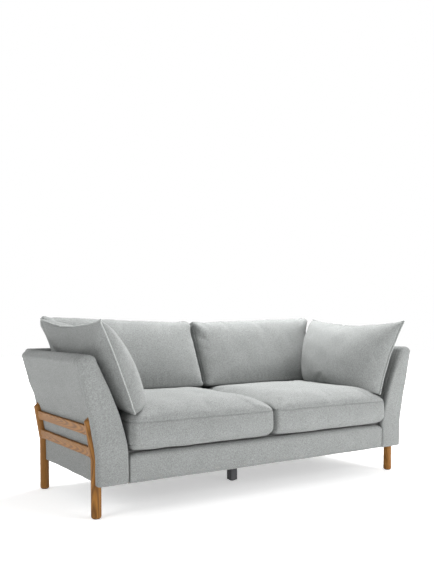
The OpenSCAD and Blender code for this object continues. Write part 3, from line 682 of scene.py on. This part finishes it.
def build_border():
    """The padded border under the seat cushions, rolled over at its top edge."""
    size = BORDER_HI - BORDER_LO
    length, depth, height = size
    xs = grid_lines(length, 0.011, 0.003, (0, length), 0.03)
    ys = grid_lines(depth, 0.006, 0.0035, (0, depth), 0.01)
    zs = grid_lines(height, 0.007, 0.0035, (0, height), 0.02)
    box, quads, ids = box_shell(xs, ys, zs)
    p = soften(box, size, (0.007, 0.022, 0.005), (0.007, 0.006, 0.022))
    along, up = p[:, 0] / length, p[:, 2] / height
    p[:, 1] -= (box[:, 1] < 1e-6) * 0.004 * arch(along, 12) * arch(up, 3)
    # The top edge dips where it is pulled in beside the arms
    dip, dip_width = 0.012, 0.02
    ends = dip * np.exp(-p[:, 0] / dip_width) + dip * np.exp(-(length - p[:, 0]) / dip_width)
    p[:, 2] -= ends * smooth(up * 2 - 1)
    points = p + np.array(BORDER_LO)
    normals = normals_of(points, quads)
    points += normals * (0.0011 * ripple(points, 0.20, 5))[:, None]
    border = make_mesh("front_border_upholstery", points, quads, finish("cover_fabric"))
    finish_piece(border, "frame", ["front_border"])
    k = int(np.argmin(np.abs(zs - 0.012)))
    hem = lifted(points, normals, ids[:, 0, k], STITCH_LIFT)
    stitch_paths("front_border_hem_stitches", [(hem[2:-2], False)], "frame")


def build_back():
    """The padded back, leaning like the arms, with ends that flare out as it rises."""
    foot_half, top_half = ARM_HI.x - FLARE_OUT - 0.045, BACK_HI.x
    # The ends are shaped afterwards, so the length of the box only sets the spacing of the points
    length, thick, height = 2.0, 0.110, BACK_HI.z - BACK_LO.z
    xs = grid_lines(length, 0.010, 0.0035, (0, length), 0.03)
    ys = grid_lines(thick, 0.008, 0.0035, (0, thick), 0.02)
    zs = grid_lines(height, 0.009, 0.0035, (0, height), 0.03)
    box, quads, ids = box_shell(xs, ys, zs)
    p = soften(box, (length, thick, height), (0.020, 0.034, 0.006), (0.020, 0.034, 0.030))
    z = BACK_LO.z + p[:, 2]
    level = np.minimum(z, SHOULDER_Z)
    half = foot_half + (top_half - foot_half) * np.clip(p[:, 2] / (SHOULDER_Z - FOOT_Z), 0, 1)
    face, rear = back_face(level), back_rear(level)
    y = face + p[:, 1] / thick * (rear - face)
    x = (p[:, 0] - length / 2) * half
    # In front of the arms' rear ends it stops at the insides of the arms
    inside_arm = ARM_LO.x - 0.004 + FLARE_IN * flare(level, BEND_IN_Z)
    behind = smooth((y - ARM_HI.y + 0.002) / 0.02)
    limit = inside_arm + (half - inside_arm) * np.where(y > ARM_HI.y, behind, 0)
    x = np.sign(x) * np.minimum(np.abs(x), np.maximum(limit, 0.5))
    points = np.stack([x, y, z], 1)
    points[:, 1] += (box[:, 1] > thick - 1e-6) * 0.004 * arch(p[:, 0] / length, 8) * arch(p[:, 2] / height, 4)
    normals = normals_of(points, quads)
    points += normals * (0.0010 * ripple(points, 0.22, 7))[:, None]
    j = int(np.argmin(np.abs(ys - thick + 0.014)))
    seam_depth = bpy.context.scene.sofa_cloth.seam_depth * 0.7
    points = groove(points, normals, box[:, 1], ys[j], seam_depth, 0.003)
    back = make_mesh("back_upholstery", points, quads, finish("cover_fabric"))
    finish_piece(back, "frame", ["back_cover"])
    seam = lifted(points, normals, rim_ids(ids[:, j, :]), STITCH_LIFT)
    stitch_paths("back_seam_stitches", [(seam, True)], "frame")


# ---- Cushions ----


def filled_shell(size, fine, spots, shape, hold, slack, share):
    """A cushion's shell, finer near the spots, swelled by a share of what a coarse one does as cloth."""

    def shell(step, fine):
        lines = [grid_lines(size[n], step, fine, spots[n], 0.02) for n in range(3)]
        return (*box_shell(*lines), lines)

    box, quads, ids, lines = shell(0.0085, fine)
    points = shape(box)
    rough_box, rough_quads, _, _ = shell(0.014, 0.012)
    rough = shape(rough_box)
    cap = bpy.context.scene.sofa_filling.cap
    moves = swell(rough, rough_quads, hold(rough_box, rough), cap, slack)
    points = points + carry(rough, moves, points) * share
    return box, points, quads, ids, lines


def add_cushion(kind, inside, fill, side, sign, points, quads, *paths):
    """A cushion that stands for its cover and its inside; gives back its body and the paths on it."""
    points, quads, *paths = on_side(sign, points, quads, *paths)
    body = f"{side}_{kind}_cushion"
    cushion = make_mesh(f"{body}_padding", points, quads, finish("cover_fabric"))
    nodes = [f"{side}_{kind}_cover", f"{side}_{kind}_{inside}"]
    finish_piece(cushion, body, nodes)
    return body, [(path, True) for path in paths]


def seat_shape(box, size):
    """A seat cushion: boxed sides under a crown that rolls over at every edge."""
    length, depth, height = size
    seam_z = height - SEAT_CROWN
    over = smooth((box[:, 2] - seam_z) / (height - seam_z))
    plan_x = 0.026 + 0.130 * over
    plan_y = 0.044 + 0.080 * over
    # The rear corners are squarer than the front ones
    rear = smooth(box[:, 1] / depth * 2 - 0.8)
    plan_x = plan_x * (1 - 0.72 * rear) + 0.02 * rear
    near = columns(len(box), plan_x, plan_y, 0.054)
    far = columns(len(box), plan_x, 0.024 + 0.030 * over, height - seam_z)
    p = soften(box, size, near, far)
    u, v, w = p[:, 0] / length, p[:, 1] / depth, p[:, 2] / height
    p[:, 2] += 0.010 * arch(u, 2) * arch(v, 2) * over
    wall = arch(np.clip(p[:, 2] / seam_z, 0, 1), 2.5)
    p[:, 1] -= (box[:, 1] < 1e-6) * 0.009 * wall * arch(u, 4)
    near_front = 1 - smooth(p[:, 1] / 0.12)
    corners = np.exp(-p[:, 0] / 0.06) + np.exp(-(length - p[:, 0]) / 0.06)
    p[:, 2] += (0.003 + 0.010 * corners) * np.exp(-p[:, 2] / 0.045) * near_front
    return p


def build_seat_cushion(side, sign):
    """One seat cushion, with its two seams sewn in after it is filled."""
    scene = bpy.context.scene
    size = np.array(SEAT_HI - SEAT_LO)
    seam_z, low_seam = size[2] - SEAT_CROWN, 0.014

    def hold(box, p):
        base = np.clip(1 - p[:, 2] / 0.012, 0, 1)
        return np.maximum(base, 0.35 * np.exp(-(((box[:, 2] - seam_z) / 0.012) ** 2)))

    spots = ((0, size[0]), (0, size[1]), (low_seam, seam_z))
    share = scene.sofa_filling.seat_share
    shell = filled_shell(size, 0.003, spots, lambda box: seat_shape(box, size), hold, 0.010, share)
    box, points, quads, ids, lines = shell
    points[:, 2] = np.maximum(points[:, 2], 0.0)
    normals = normals_of(points, quads)
    points += normals * (0.0016 * ripple(points + sign, 0.17, 21 + sign))[:, None]
    depth = scene.sofa_cloth.seam_depth
    points = groove(points, normals, box[:, 2], seam_z, depth, 0.0032)
    points = groove(points, normals, box[:, 2], low_seam, depth * 0.7, 0.0032)
    points = points + np.array(SEAT_LO)
    rings = [rim_ids(ids[:, :, int(np.argmin(np.abs(lines[2] - at)))]) for at in (seam_z, low_seam)]
    seams = [lifted(points, normals, ring, CUSHION_STITCH_LIFT) for ring in rings]
    body, seams = add_cushion("seat", "foam", 0.9, side, sign, points, quads, *seams)
    stitch_paths(f"{side}_seat_seam_stitches", seams, body)


def back_cushion_place(p, size):
    """Leans a back cushion's box points into place: level at its foot, square to its lean higher up."""
    width, thick, height = size
    u, v, w = p[:, 0] / width, p[:, 1], p[:, 2]
    # Its inner top corner sags a little, and it is level up to turn_height
    sag, turn_height, taper = 0.030, 0.16, 0.050
    w = w - sag * (1 - u) * smooth(w / height)
    turned = smooth(w / turn_height)
    go_y = (1 - turned) / math.cos(LEAN) + turned * math.cos(LEAN)
    go_z = -turned * math.sin(LEAN)
    foot_y = back_face(REST_Z) - 0.004 - thick / math.cos(LEAN)
    y = foot_y + v * go_y + w * math.sin(LEAN)
    z = REST_Z + v * go_z + w * math.cos(LEAN)
    inner, foot, top = BACK_CUSHION_LO.x, 0.834, BACK_CUSHION_HI.x + 0.036
    rise = np.clip(w / (height * 0.92), 0, 1) ** 2
    outer = foot + (top - foot) * rise - taper * v / thick * smooth(w / height)
    x = inner + u * (outer - inner)
    return np.stack([x, y, z], 1)


def back_cushion_shape(box, size):
    """A back cushion: soft round edges and a full front."""
    width, thick, height = size
    top = smooth((box[:, 2] - height + 0.12) / 0.12)
    side = 0.034 - 0.006 * top
    p = soften(box, size, columns(len(box), side, 0.045, 0.024), columns(len(box), side, 0.040, 0.050))
    u, w = p[:, 0] / width, p[:, 2] / height
    full = 1 - p[:, 1] / thick
    p[:, 1] -= 0.026 * full * arch(u, 2.6) * arch(w, 2.2)
    return p


def build_back_cushion(side, sign):
    """One back cushion, leaning on the back and standing on its seat cushion."""
    scene = bpy.context.scene
    thick, seam_y = 0.125, 0.020
    height = (BACK_CUSHION_HI.z - REST_Z - thick / 2 * (1 - math.sin(LEAN))) / math.cos(LEAN) + thick / 2
    size = (BACK_CUSHION_HI.x - BACK_CUSHION_LO.x, thick, height)

    def shape(box):
        return back_cushion_place(back_cushion_shape(box, size), size)

    def hold(box, p):
        return np.maximum(np.clip(box[:, 1] / thick * 1.6 - 0.6, 0, 1), np.clip(1 - box[:, 2] / 0.02, 0, 1))

    spots = ((0, size[0]), (0, seam_y, thick), (0, height))
    share = scene.sofa_filling.back_share
    box, points, quads, ids, lines = filled_shell(size, 0.0035, spots, shape, hold, 0.012, share)
    normals = normals_of(points, quads)
    points += normals * (0.0020 * ripple(points + sign, 0.19, 31 + sign))[:, None]
    points = groove(points, normals, box[:, 1], seam_y, scene.sofa_cloth.seam_depth, 0.0035)
    points[:, 2] = np.maximum(points[:, 2], REST_Z - 0.002)
    ring = rim_ids(ids[:, int(np.argmin(np.abs(lines[1] - seam_y))), :])
    seam = lifted(points, normals, ring, CUSHION_STITCH_LIFT)
    body, seams = add_cushion("back", "fill", 0.75, side, sign, points, quads, seam)
    stitch_paths(f"{side}_back_seam_stitches", seams, body)


def pad_grid(across, up):
    """Two faces that share their rim: point numbers of the inner and outer face, and quads facing out."""
    shape = (across, up)
    inner = np.arange(across * up).reshape(shape)
    outer = inner.copy()
    middle = np.zeros(shape, bool)
    middle[1:-1, 1:-1] = True
    outer[middle] = across * up + np.arange(middle.sum())
    quads = []
    for grid, turned in ((inner, False), (outer, True)):
        a, b, c, d = grid[:-1, :-1], grid[1:, :-1], grid[1:, 1:], grid[:-1, 1:]
        loop = (a, b, c, d) if turned else (a, d, c, b)
        quads.append(np.stack([q.ravel() for q in loop], 1))
    return inner, outer, np.concatenate(quads)


def side_rim(s, t):
    """Places on the sheet that a side cushion's piped rim lies in; s runs to the rear and t up."""
    front_low = np.array([0.766, -0.440, 0.452])
    front_top = np.array([0.937, -0.462, 0.868])
    rear_low = np.array([0.772, 0.140, 0.495])
    rear_top = np.array([0.925, 0.302, 0.876])
    s, t = s[..., None], t[..., None]
    p = (front_low * (1 - s) + rear_low * s) * (1 - t) + (front_top * (1 - s) + rear_top * s) * t
    bow_s, bow_t = 4 * s * (1 - s), 4 * t * (1 - t)
    p[..., 2:3] += -0.030 * bow_s * t**2 + 0.004 * bow_s * (1 - t) ** 2
    p[..., 1:2] += 0.008 * bow_t * (1 - s) ** 2 - 0.002 * bow_t * s**2
    p[..., 0:1] += -0.012 * bow_t
    return p


def crowded(count):
    """Places from 0 to 1 that crowd a little towards both ends."""
    even = np.linspace(0, 1, count)
    return 0.45 * (0.5 - 0.5 * np.cos(np.pi * even)) + 0.55 * even


def side_cushion_points(across, up):
    """A knife-edged cushion: a deep belly towards the seat and a flatter side against the arm."""
    inner, outer, quads = pad_grid(across, up)
    s, t = np.meshgrid(crowded(across), crowded(up), indexing="ij")
    rim = side_rim(s, t)
    round_s = arch(s, 2.4) ** (1 / 1.9)
    # Where it is pressed against the back and the seat, the belly keeps its depth further out
    full_s = np.where(s > 0.5, arch(s, 4.5) ** (1 / 1.9), round_s)
    low_t = t**0.80
    full_t = np.where(low_t < 0.5, arch(low_t, 3.4), arch(low_t, 2.3)) ** (1 / 1.8)
    belly = full_s * full_t
    flat = round_s * arch(t, 2.2) ** (1 / 1.7)
    belly_depth, belly_lift, back_depth = 0.172, 0.096, 0.056
    into = rim + (belly_depth * belly)[..., None] * np.array([-0.985, 0.0, -0.24])
    into[..., 2] += belly_lift * belly * t**3
    away = rim + (back_depth * flat)[..., None] * np.array([0.93, 0.0, -0.05])
    count = across * up + (across - 2) * (up - 2)
    points = np.zeros((count, 3))
    points[inner.ravel()] = into.reshape(-1, 3)
    points[outer[1:-1, 1:-1].ravel()] = away[1:-1, 1:-1].reshape(-1, 3)
    return points, quads, rim_ids(inner)


def seat_top(x, y):
    """Height of the seat cushion's crown under a side cushion, with the sinking in of its weight."""
    u = np.clip((x - SEAT_LO.x) / (SEAT_HI.x - SEAT_LO.x), 0, 1)
    v = np.clip((y - SEAT_LO.y) / (SEAT_HI.y - SEAT_LO.y), 0, 1)
    crown = np.minimum(arch(u, 3) ** (1 / 3), arch(v, 2.6) ** (1 / 2.6))
    return SEAT_HI.z - SEAT_CROWN * (1 - crown)


def build_side_cushion(side, sign):
    """One side cushion, leaning on the arm, with piping round its rim."""
    fill = bpy.context.scene.sofa_filling
    points, quads, rim = side_cushion_points(96, 72)
    rough, rough_quads, rough_rim = side_cushion_points(46, 34)
    held = np.zeros(len(rough))
    held[rough_rim] = 0.5
    moves = swell(rough, rough_quads, held, fill.cap, 0.025)
    points = points + carry(rough, moves, points) * fill.side_share
    normals = normals_of(points, quads)
    points += normals * (0.0018 * ripple(points + sign, 0.15, 41 + sign))[:, None]
    floor = np.maximum(seat_top(points[:, 0], points[:, 1]), REST_Z - 0.044)
    points[:, 2] = np.logaddexp(points[:, 2] / REST_BLEND, floor / REST_BLEND) * REST_BLEND
    points[:, 0] = np.minimum(points[:, 0], arm_inner(np.minimum(points[:, 2], SHOULDER_Z)) - 0.004)
    cord = lifted(points, normals, rim, 0.002)
    body, cords = add_cushion("side", "fill", 0.7, side, sign, points, quads, cord)
    piping_paths(f"{side}_side_cushion_piping", cords, body)


# ---- Oak side frames ----


def give_grain(piece, along, centre, board):
    """Stores each point's place along and across the grain; board is where in the tree the piece is cut."""
    mesh = piece.data
    count = len(mesh.vertices)
    place = np.empty(count * 3, np.float32)
    mesh.vertices.foreach_get("co", place)
    place = place.reshape(-1, 3) - np.array(centre)
    order = {"Y": (0, 2, 1), "Z": (0, 1, 2)}[along]
    place = place[:, order] + np.array(board)
    layer = mesh.attributes.new("grain", "FLOAT_VECTOR", "POINT")
    layer.data.foreach_set("vector", place.astype(np.float32).ravel())


def build_leg(side, sign, end):
    """A round oak bar from the floor up the arm, half lapped to it, a little fuller where the slats meet it."""
    node = f"{side}_{end}_leg"
    low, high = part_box(node)
    slats = [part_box(f"{side}_{level}_slat") for level in ("lower", "upper")]
    slat_mids = [(lo.z + hi.z) / 2 for lo, hi in slats]
    mid_y = (low.y + high.y) / 2
    radius = (high.y - low.y) / 2
    axis_x = min(abs(low.x), abs(high.x)) + radius
    bend_z = FOOT_Z + 0.105
    face_top = float(arm_outer(np.array(high.z)))
    tilt = (face_top - axis_x) / (high.z - bend_z)
    toward = 1 if end == "front" else -1
    fall = math.tan(math.radians(30))
    around, blend = 40, 0.006
    turn = np.linspace(0, 2 * math.pi, around, endpoint=False)
    rows = []
    for z in np.linspace(low.z, high.z + 0.03, 96):
        swell_y = sum(0.009 * math.exp(-(((z - m) / 0.026) ** 4)) for m in slat_mids)
        foot = 1 - 0.10 * math.exp(-(z - low.z) / 0.0025)
        y = mid_y + radius * foot * np.sin(turn)
        y = y + toward * swell_y * np.maximum(0, toward * np.sin(turn)) ** 2
        # The top is cut to a slope that falls outwards
        straight_x = axis_x - tilt * bend_z + radius * np.cos(turn)
        cut = (high.z - 0.002 - (straight_x - face_top) * fall) / (1 + tilt * fall)
        row_z = -blend * np.logaddexp(-z / blend, -cut / blend)
        x = axis_x + tilt * np.maximum(0, row_z - bend_z) + radius * foot * np.cos(turn)
        if z > FOOT_Z + 0.002:
            x = np.maximum(x, arm_outer(row_z) - 0.002)
        rows.append(np.stack([x, y, row_z], 1))
    # The last rings close in towards the middle of the sloping end
    crown = rows[-1]
    turns = [n / 5 * math.pi / 2 for n in range(1, 6)]
    closing = [(0.20 * (1 - math.cos(a)), 0.0035 * math.sin(a)) for a in turns]
    for share, rise in (*closing, (0.45, 0.0042), (0.75, 0.0042)):
        ring = crown + (crown.mean(0) - crown) * share
        ring[:, 2] += rise
        rows.append(ring)
    ids = np.arange(len(rows) * around).reshape(-1, around)
    ahead = np.roll(ids, -1, 1)
    quads = np.stack([ids[:-1], ahead[:-1], ahead[1:], ids[1:]], 2).reshape(-1, 4)
    points, faces = on_side(sign, np.concatenate(rows), [*quads, ids[-1], ids[0, ::-1]])
    leg = make_mesh(f"{node}_oak", points, faces, finish("oak"))
    leg.data.set_sharp_from_angle(angle=math.radians(50))
    board = (0.030, 0.012 * sign, 0.4 * sign + 0.9 * (end == "rear"))
    give_grain(leg, "Z", (sign * axis_x, mid_y, 0.2), board)
    finish_piece(leg, "frame", [node])


def build_slat(side, sign, level):
    """An oak slat on the side of the arm, its edges eased and its ends coped to the posts."""
    node = f"{side}_{level}_slat"
    low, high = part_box(node)
    posts = [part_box(f"{side}_{end}_leg") for end in ("front", "rear")]
    start = posts[0][1].y - 0.004
    stop = posts[1][0].y + 0.004
    height = high.z - low.z
    thick = 0.019
    xs = grid_lines(thick, 0.004, 0.0015, (0, thick), 0.006)
    ys = grid_lines(stop - start, 0.008, 0.003, (0, stop - start), 0.02)
    zs = grid_lines(height, 0.004, 0.0015, (0, height), 0.006)
    box, quads, _ = box_shell(xs, ys, zs)
    p = soften(box, (thick, stop - start, height), (0.002, 0.001, 0.0035), (0.0035, 0.001, 0.0035))
    end = np.minimum(p[:, 1], stop - start - p[:, 1])
    p[:, 2] = height / 2 + (p[:, 2] - height / 2) * (1 + 0.10 * np.exp(-end / 0.018))
    z = low.z + p[:, 2]
    x = arm_outer(z) + p[:, 0] - 0.001 + 0.003 * np.exp(-end / 0.03)
    points = np.stack([x, start + p[:, 1], z], 1)
    points, quads = on_side(sign, points, quads)
    slat = make_mesh(f"{node}_oak", points, quads, finish("oak"))
    x, y, z = {"lower": (0.006, 0.004, -0.10), "upper": (0.018, -0.012, 0.16)}[level]
    give_grain(slat, "Y", (low + high) / 2, (x * sign, y, z))
    finish_piece(slat, "frame", [node])


def build_centre_leg():
    """The square dark leg under the middle of the front, with eased edges."""
    low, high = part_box("centre_leg")
    size = high - low
    lines = [grid_lines(size[n], 0.006, 0.002, (0, size[n]), 0.006) for n in range(3)]
    box, quads, _ = box_shell(*lines)
    points = soften(box, size, (0.003, 0.003, 0.002), (0.003, 0.003, 0.001)) + np.array(low)
    leg = make_mesh("centre_leg_turned", points, quads, finish("dark_stain"))
    finish_piece(leg, "frame", ["centre_leg"])


CARRIED_OVER = {
    "softwood_x": ("front_rail", "rear_rail", "back_top_rail", "back_bottom_rail", "corner_blocks"),
    "softwood_y": ("left_side_rail", "right_side_rail", "centre_rail", "left_arm_rails", "right_arm_rails"),
    "plywood": ("left_arm_boards", "right_arm_boards", "back_uprights"),
    "spring_wire": ("seat_springs",),
    "zinc_plate": (
        "spring_clips", "leg_bolts", "leg_washers", "frame_bolts", "frame_nuts", "centre_leg_screws",
    ),
    "brass": ("leg_inserts",),
    "pad_felt": ("seat_pad",),
    "platform_cloth": ("deck_cloth",),
    "lining_felt": ("dust_cover",),
    "elastic_web": ("back_webbing",),
    "beech": ("slat_dowels",),
    "black_coat": ("centre_leg_plate",),
    "nylon": ("foot_glides",),
}


def dress_frame():
    """Gives every node that is kept as it is its own finish."""
    for name, nodes in CARRIED_OVER.items():
        for node in nodes:
            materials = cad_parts[node].data.materials
            materials.clear()
            materials.append(finish(name))


# ---- Studio ----


def build_studio():
    """A pale floor, soft light from the upper front left, and the camera."""
    studio = bpy.context.scene.sofa_studio
    half = 14.0
    mesh = bpy.data.meshes.new("studio_floor")
    corners = [(-half, -half, 0), (half, -half, 0), (half, half, 0), (-half, half, 0)]
    mesh.from_pydata(corners, [], [(0, 1, 2, 3)])
    floor = add_object("studio_floor", mesh)
    material, tree, shader = new_material("studio_paper")
    place = coordinates(tree)
    paper = ramp(tree, noise_at(tree, place, 3, 2, 0.5), [(0.3, grey(0.955)), (0.7, grey(0.97))])
    # Far from the sofa the paper glows, so that it stays pale up to the horizon
    reach = add_node(tree, "ShaderNodeVectorMath", {0: place}, operation="LENGTH").outputs["Value"]
    far = result_of(tree, "ShaderNodeMapRange", {"Value": reach, "From Min": 1.5, "From Max": 4.5})
    glow = math_node(tree, "MULTIPLY_ADD", far, 0.9, studio.floor_glow)
    plug(tree, shader, {
        "Base Color": paper,
        "Roughness": 0.9,
        "Specular IOR Level": 0.1,
        "Emission Color": grey(1),
        "Emission Strength": glow,
    })
    mesh.materials.append(material)

    world = bpy.data.worlds.new("studio_air")
    world.use_nodes = True
    air = world.node_tree
    air.nodes.clear()
    seen = add_node(air, "ShaderNodeLightPath").outputs["Is Camera Ray"]
    strength = math_node(air, "MULTIPLY_ADD", seen, 1.0 - studio.air, studio.air)
    glow = add_node(air, "ShaderNodeBackground", {"Color": grey(1), "Strength": strength})
    shown = add_node(air, "ShaderNodeOutputWorld")
    air.links.new(glow.outputs[0], shown.inputs[0])
    bpy.context.scene.world = world

    for name, place, target, size, power in (
        ("key_light", (2.2, -4.2, 1.3), (0.3, -0.1, 0.3), 3.0, studio.key),
        ("side_light", (-4.4, -1.4, 2.2), (0, -0.1, 0.4), 1.8, studio.side),
        ("top_light", (0.9, 0.7, 3.1), (0, 0, 0.4), 1.6, studio.top),
    ):
        light = bpy.data.lights.new(name, "AREA")
        light.shape = "SQUARE"
        light.size = size
        light.energy = power
        lamp = add_object(name, light)
        lamp.location = place
        lamp.rotation_euler = (Vector(target) - Vector(place)).to_track_quat("-Z", "Y").to_euler()

    tilt_down, turn_right = 2.19, 33.6
    lens = bpy.data.cameras.new("view_camera")
    lens.sensor_width = 36
    lens.lens = studio.lens
    lens.shift_y = 0.1045
    lens.clip_end = 100
    camera = add_object("view_camera", lens)
    camera.location = (-2.109, -3.113, 0.851)
    camera.rotation_euler = (math.radians(90 - tilt_down), 0, math.radians(-turn_right))
    bpy.context.scene.camera = camera
    bpy.context.scene.view_settings.view_transform = "Standard"


# ---- Settings that a user would change ----


def amount(name, description, default, **more):
    """A setting that is one number, 0 or more."""
    return FloatProperty(name=name, description=description, default=default, **{"min": 0, **more})


def distance(name, description, default):
    """A setting that is a small length."""
    return amount(name, description, default, min=0.0005, unit="LENGTH", precision=4)


def tint(name, description, default):
    """A setting that is a colour."""
    return FloatVectorProperty(
        name=name, description=description, default=default, subtype="COLOR", size=3, min=0, max=1
    )


class SofaCloth(bpy.types.PropertyGroup):
    """The cover fabric and how it is sewn."""

    colour: tint("Colour", "Colour of the cover fabric", (0.200, 0.208, 0.204))
    weave: distance("Weave", "Distance between threads", 0.0016)
    fleck: amount("Fleck", "How much the yarns differ in tone", 0.28, max=0.45, subtype="FACTOR")
    sheen: amount("Sheen", "Soft shine of the nap", 0.12, max=1, subtype="FACTOR")
    seam_depth: distance("Seam depth", "How deep a sewn seam lies", 0.0040)
    stitch: distance("Stitch spacing", "Distance between stitches", 0.006)
    piping: distance("Piping", "Thickness of the piping round the side cushions", 0.006)


class SofaFilling(bpy.types.PropertyGroup):
    """How full the cushions are."""

    pressure: amount("Pressure", "How hard the filling pushes", 4.0)
    cap: distance("Swell limit", "How far the filling may move the cover", 0.022)
    seat_share: amount("Seat swell", "Share of the swell that the seat cushions take", 0.5, subtype="FACTOR")
    back_share: amount("Back swell", "Share of the swell that the back cushions take", 0.6, subtype="FACTOR")
    side_share: amount("Side swell", "Share of the swell that the side cushions take", 0.8, subtype="FACTOR")


class SofaOak(bpy.types.PropertyGroup):
    """The oak of the posts and slats."""

    light: tint("Light", "Light part of the grain", (0.270, 0.118, 0.021))
    dark: tint("Dark", "Dark part of the grain", (0.098, 0.037, 0.006))
    ring: distance("Ring", "Distance between growth rings", 0.0052)


class SofaStudio(bpy.types.PropertyGroup):
    """Light and camera."""

    key: amount("Key light", "Strength of the front light", 172, unit="POWER")
    side: amount("Side light", "Strength of the left light", 58, unit="POWER")
    top: amount("Top light", "Strength of the overhead light", 222, unit="POWER")
    air: amount("Air", "Light from all round", 0.44)
    floor_glow: amount("Floor glow", "How far the paper floor glows", 0.45)
    lens: amount("Lens", "Focal length in millimetres", 42.35, min=10)


# ---- Operators ----


def both_sides(build, *rest):
    """Builds a piece on the left and on the right."""
    for side, sign in SIDES.items():
        build(side, sign, *rest)


class BuildStep:
    """What the operators share: each one runs its own build."""

    def execute(self, context):
        self.build()
        return {"FINISHED"}


class SOFA_OT_studio(BuildStep, bpy.types.Operator):
    """Set up the floor, lights and camera"""

    bl_idname = "sofa.studio"
    bl_label = "Studio"

    def build(self):
        build_studio()


class SOFA_OT_frame(BuildStep, bpy.types.Operator):
    """Give the timber, springs and fittings their finishes"""

    bl_idname = "sofa.frame"
    bl_label = "Frame and fittings"

    def build(self):
        dress_frame()


class SOFA_OT_arms(BuildStep, bpy.types.Operator):
    """Build the padded arms"""

    bl_idname = "sofa.arms"
    bl_label = "Arms"

    def build(self):
        both_sides(build_arm)


class SOFA_OT_border(BuildStep, bpy.types.Operator):
    """Build the padded front border"""

    bl_idname = "sofa.border"
    bl_label = "Front border"

    def build(self):
        build_border()


class SOFA_OT_back(BuildStep, bpy.types.Operator):
    """Build the padded back"""

    bl_idname = "sofa.back"
    bl_label = "Back"

    def build(self):
        build_back()


class SOFA_OT_seat_cushions(BuildStep, bpy.types.Operator):
    """Build the two seat cushions"""

    bl_idname = "sofa.seat_cushions"
    bl_label = "Seat cushions"

    def build(self):
        both_sides(build_seat_cushion)


class SOFA_OT_back_cushions(BuildStep, bpy.types.Operator):
    """Build the two back cushions"""

    bl_idname = "sofa.back_cushions"
    bl_label = "Back cushions"

    def build(self):
        both_sides(build_back_cushion)


class SOFA_OT_side_cushions(BuildStep, bpy.types.Operator):
    """Build the two side cushions"""

    bl_idname = "sofa.side_cushions"
    bl_label = "Side cushions"

    def build(self):
        both_sides(build_side_cushion)


class SOFA_OT_legs(BuildStep, bpy.types.Operator):
    """Build the oak posts and the centre leg"""

    bl_idname = "sofa.legs"
    bl_label = "Legs"

    def build(self):
        for end in ("front", "rear"):
            both_sides(build_leg, end)
        build_centre_leg()


class SOFA_OT_slats(BuildStep, bpy.types.Operator):
    """Build the oak slats"""

    bl_idname = "sofa.slats"
    bl_label = "Slats"

    def build(self):
        for level in ("lower", "upper"):
            both_sides(build_slat, level)


OPERATORS = (
    SOFA_OT_studio,
    SOFA_OT_frame,
    SOFA_OT_arms,
    SOFA_OT_border,
    SOFA_OT_back,
    SOFA_OT_seat_cushions,
    SOFA_OT_back_cushions,
    SOFA_OT_side_cushions,
    SOFA_OT_legs,
    SOFA_OT_slats,
)


class SOFA_PT_panel(bpy.types.Panel):
    """Sizes, colours and pieces of the sofa"""

    bl_label = "Sofa"
    bl_idname = "SOFA_PT_panel"
    bl_space_type = "VIEW_3D"
    bl_region_type = "UI"
    bl_category = "Sofa"

    def draw(self, context):
        for group in SETTINGS:
            box = self.layout.box()
            settings = getattr(context.scene, group)
            for name in settings.bl_rna.properties.keys():
                if name not in {"rna_type", "name"}:
                    box.prop(settings, name)
        for operator in OPERATORS:
            self.layout.operator(operator.bl_idname)


SETTINGS = {
    "sofa_cloth": SofaCloth,
    "sofa_filling": SofaFilling,
    "sofa_oak": SofaOak,
    "sofa_studio": SofaStudio,
}
CLASSES = (*SETTINGS.values(), *OPERATORS, SOFA_PT_panel)


def register():
    for cls in CLASSES:
        bpy.utils.register_class(cls)
    for name, group in SETTINGS.items():
        setattr(bpy.types.Scene, name, PointerProperty(type=group))


def unregister():
    for name in SETTINGS:
        delattr(bpy.types.Scene, name)
    for cls in reversed(CLASSES):
        bpy.utils.unregister_class(cls)


def main():
    register()
    for operator in OPERATORS:
        group, name = operator.bl_idname.split(".")
        getattr(getattr(bpy.ops, group), name)()


if __name__ == "__main__":
    main()
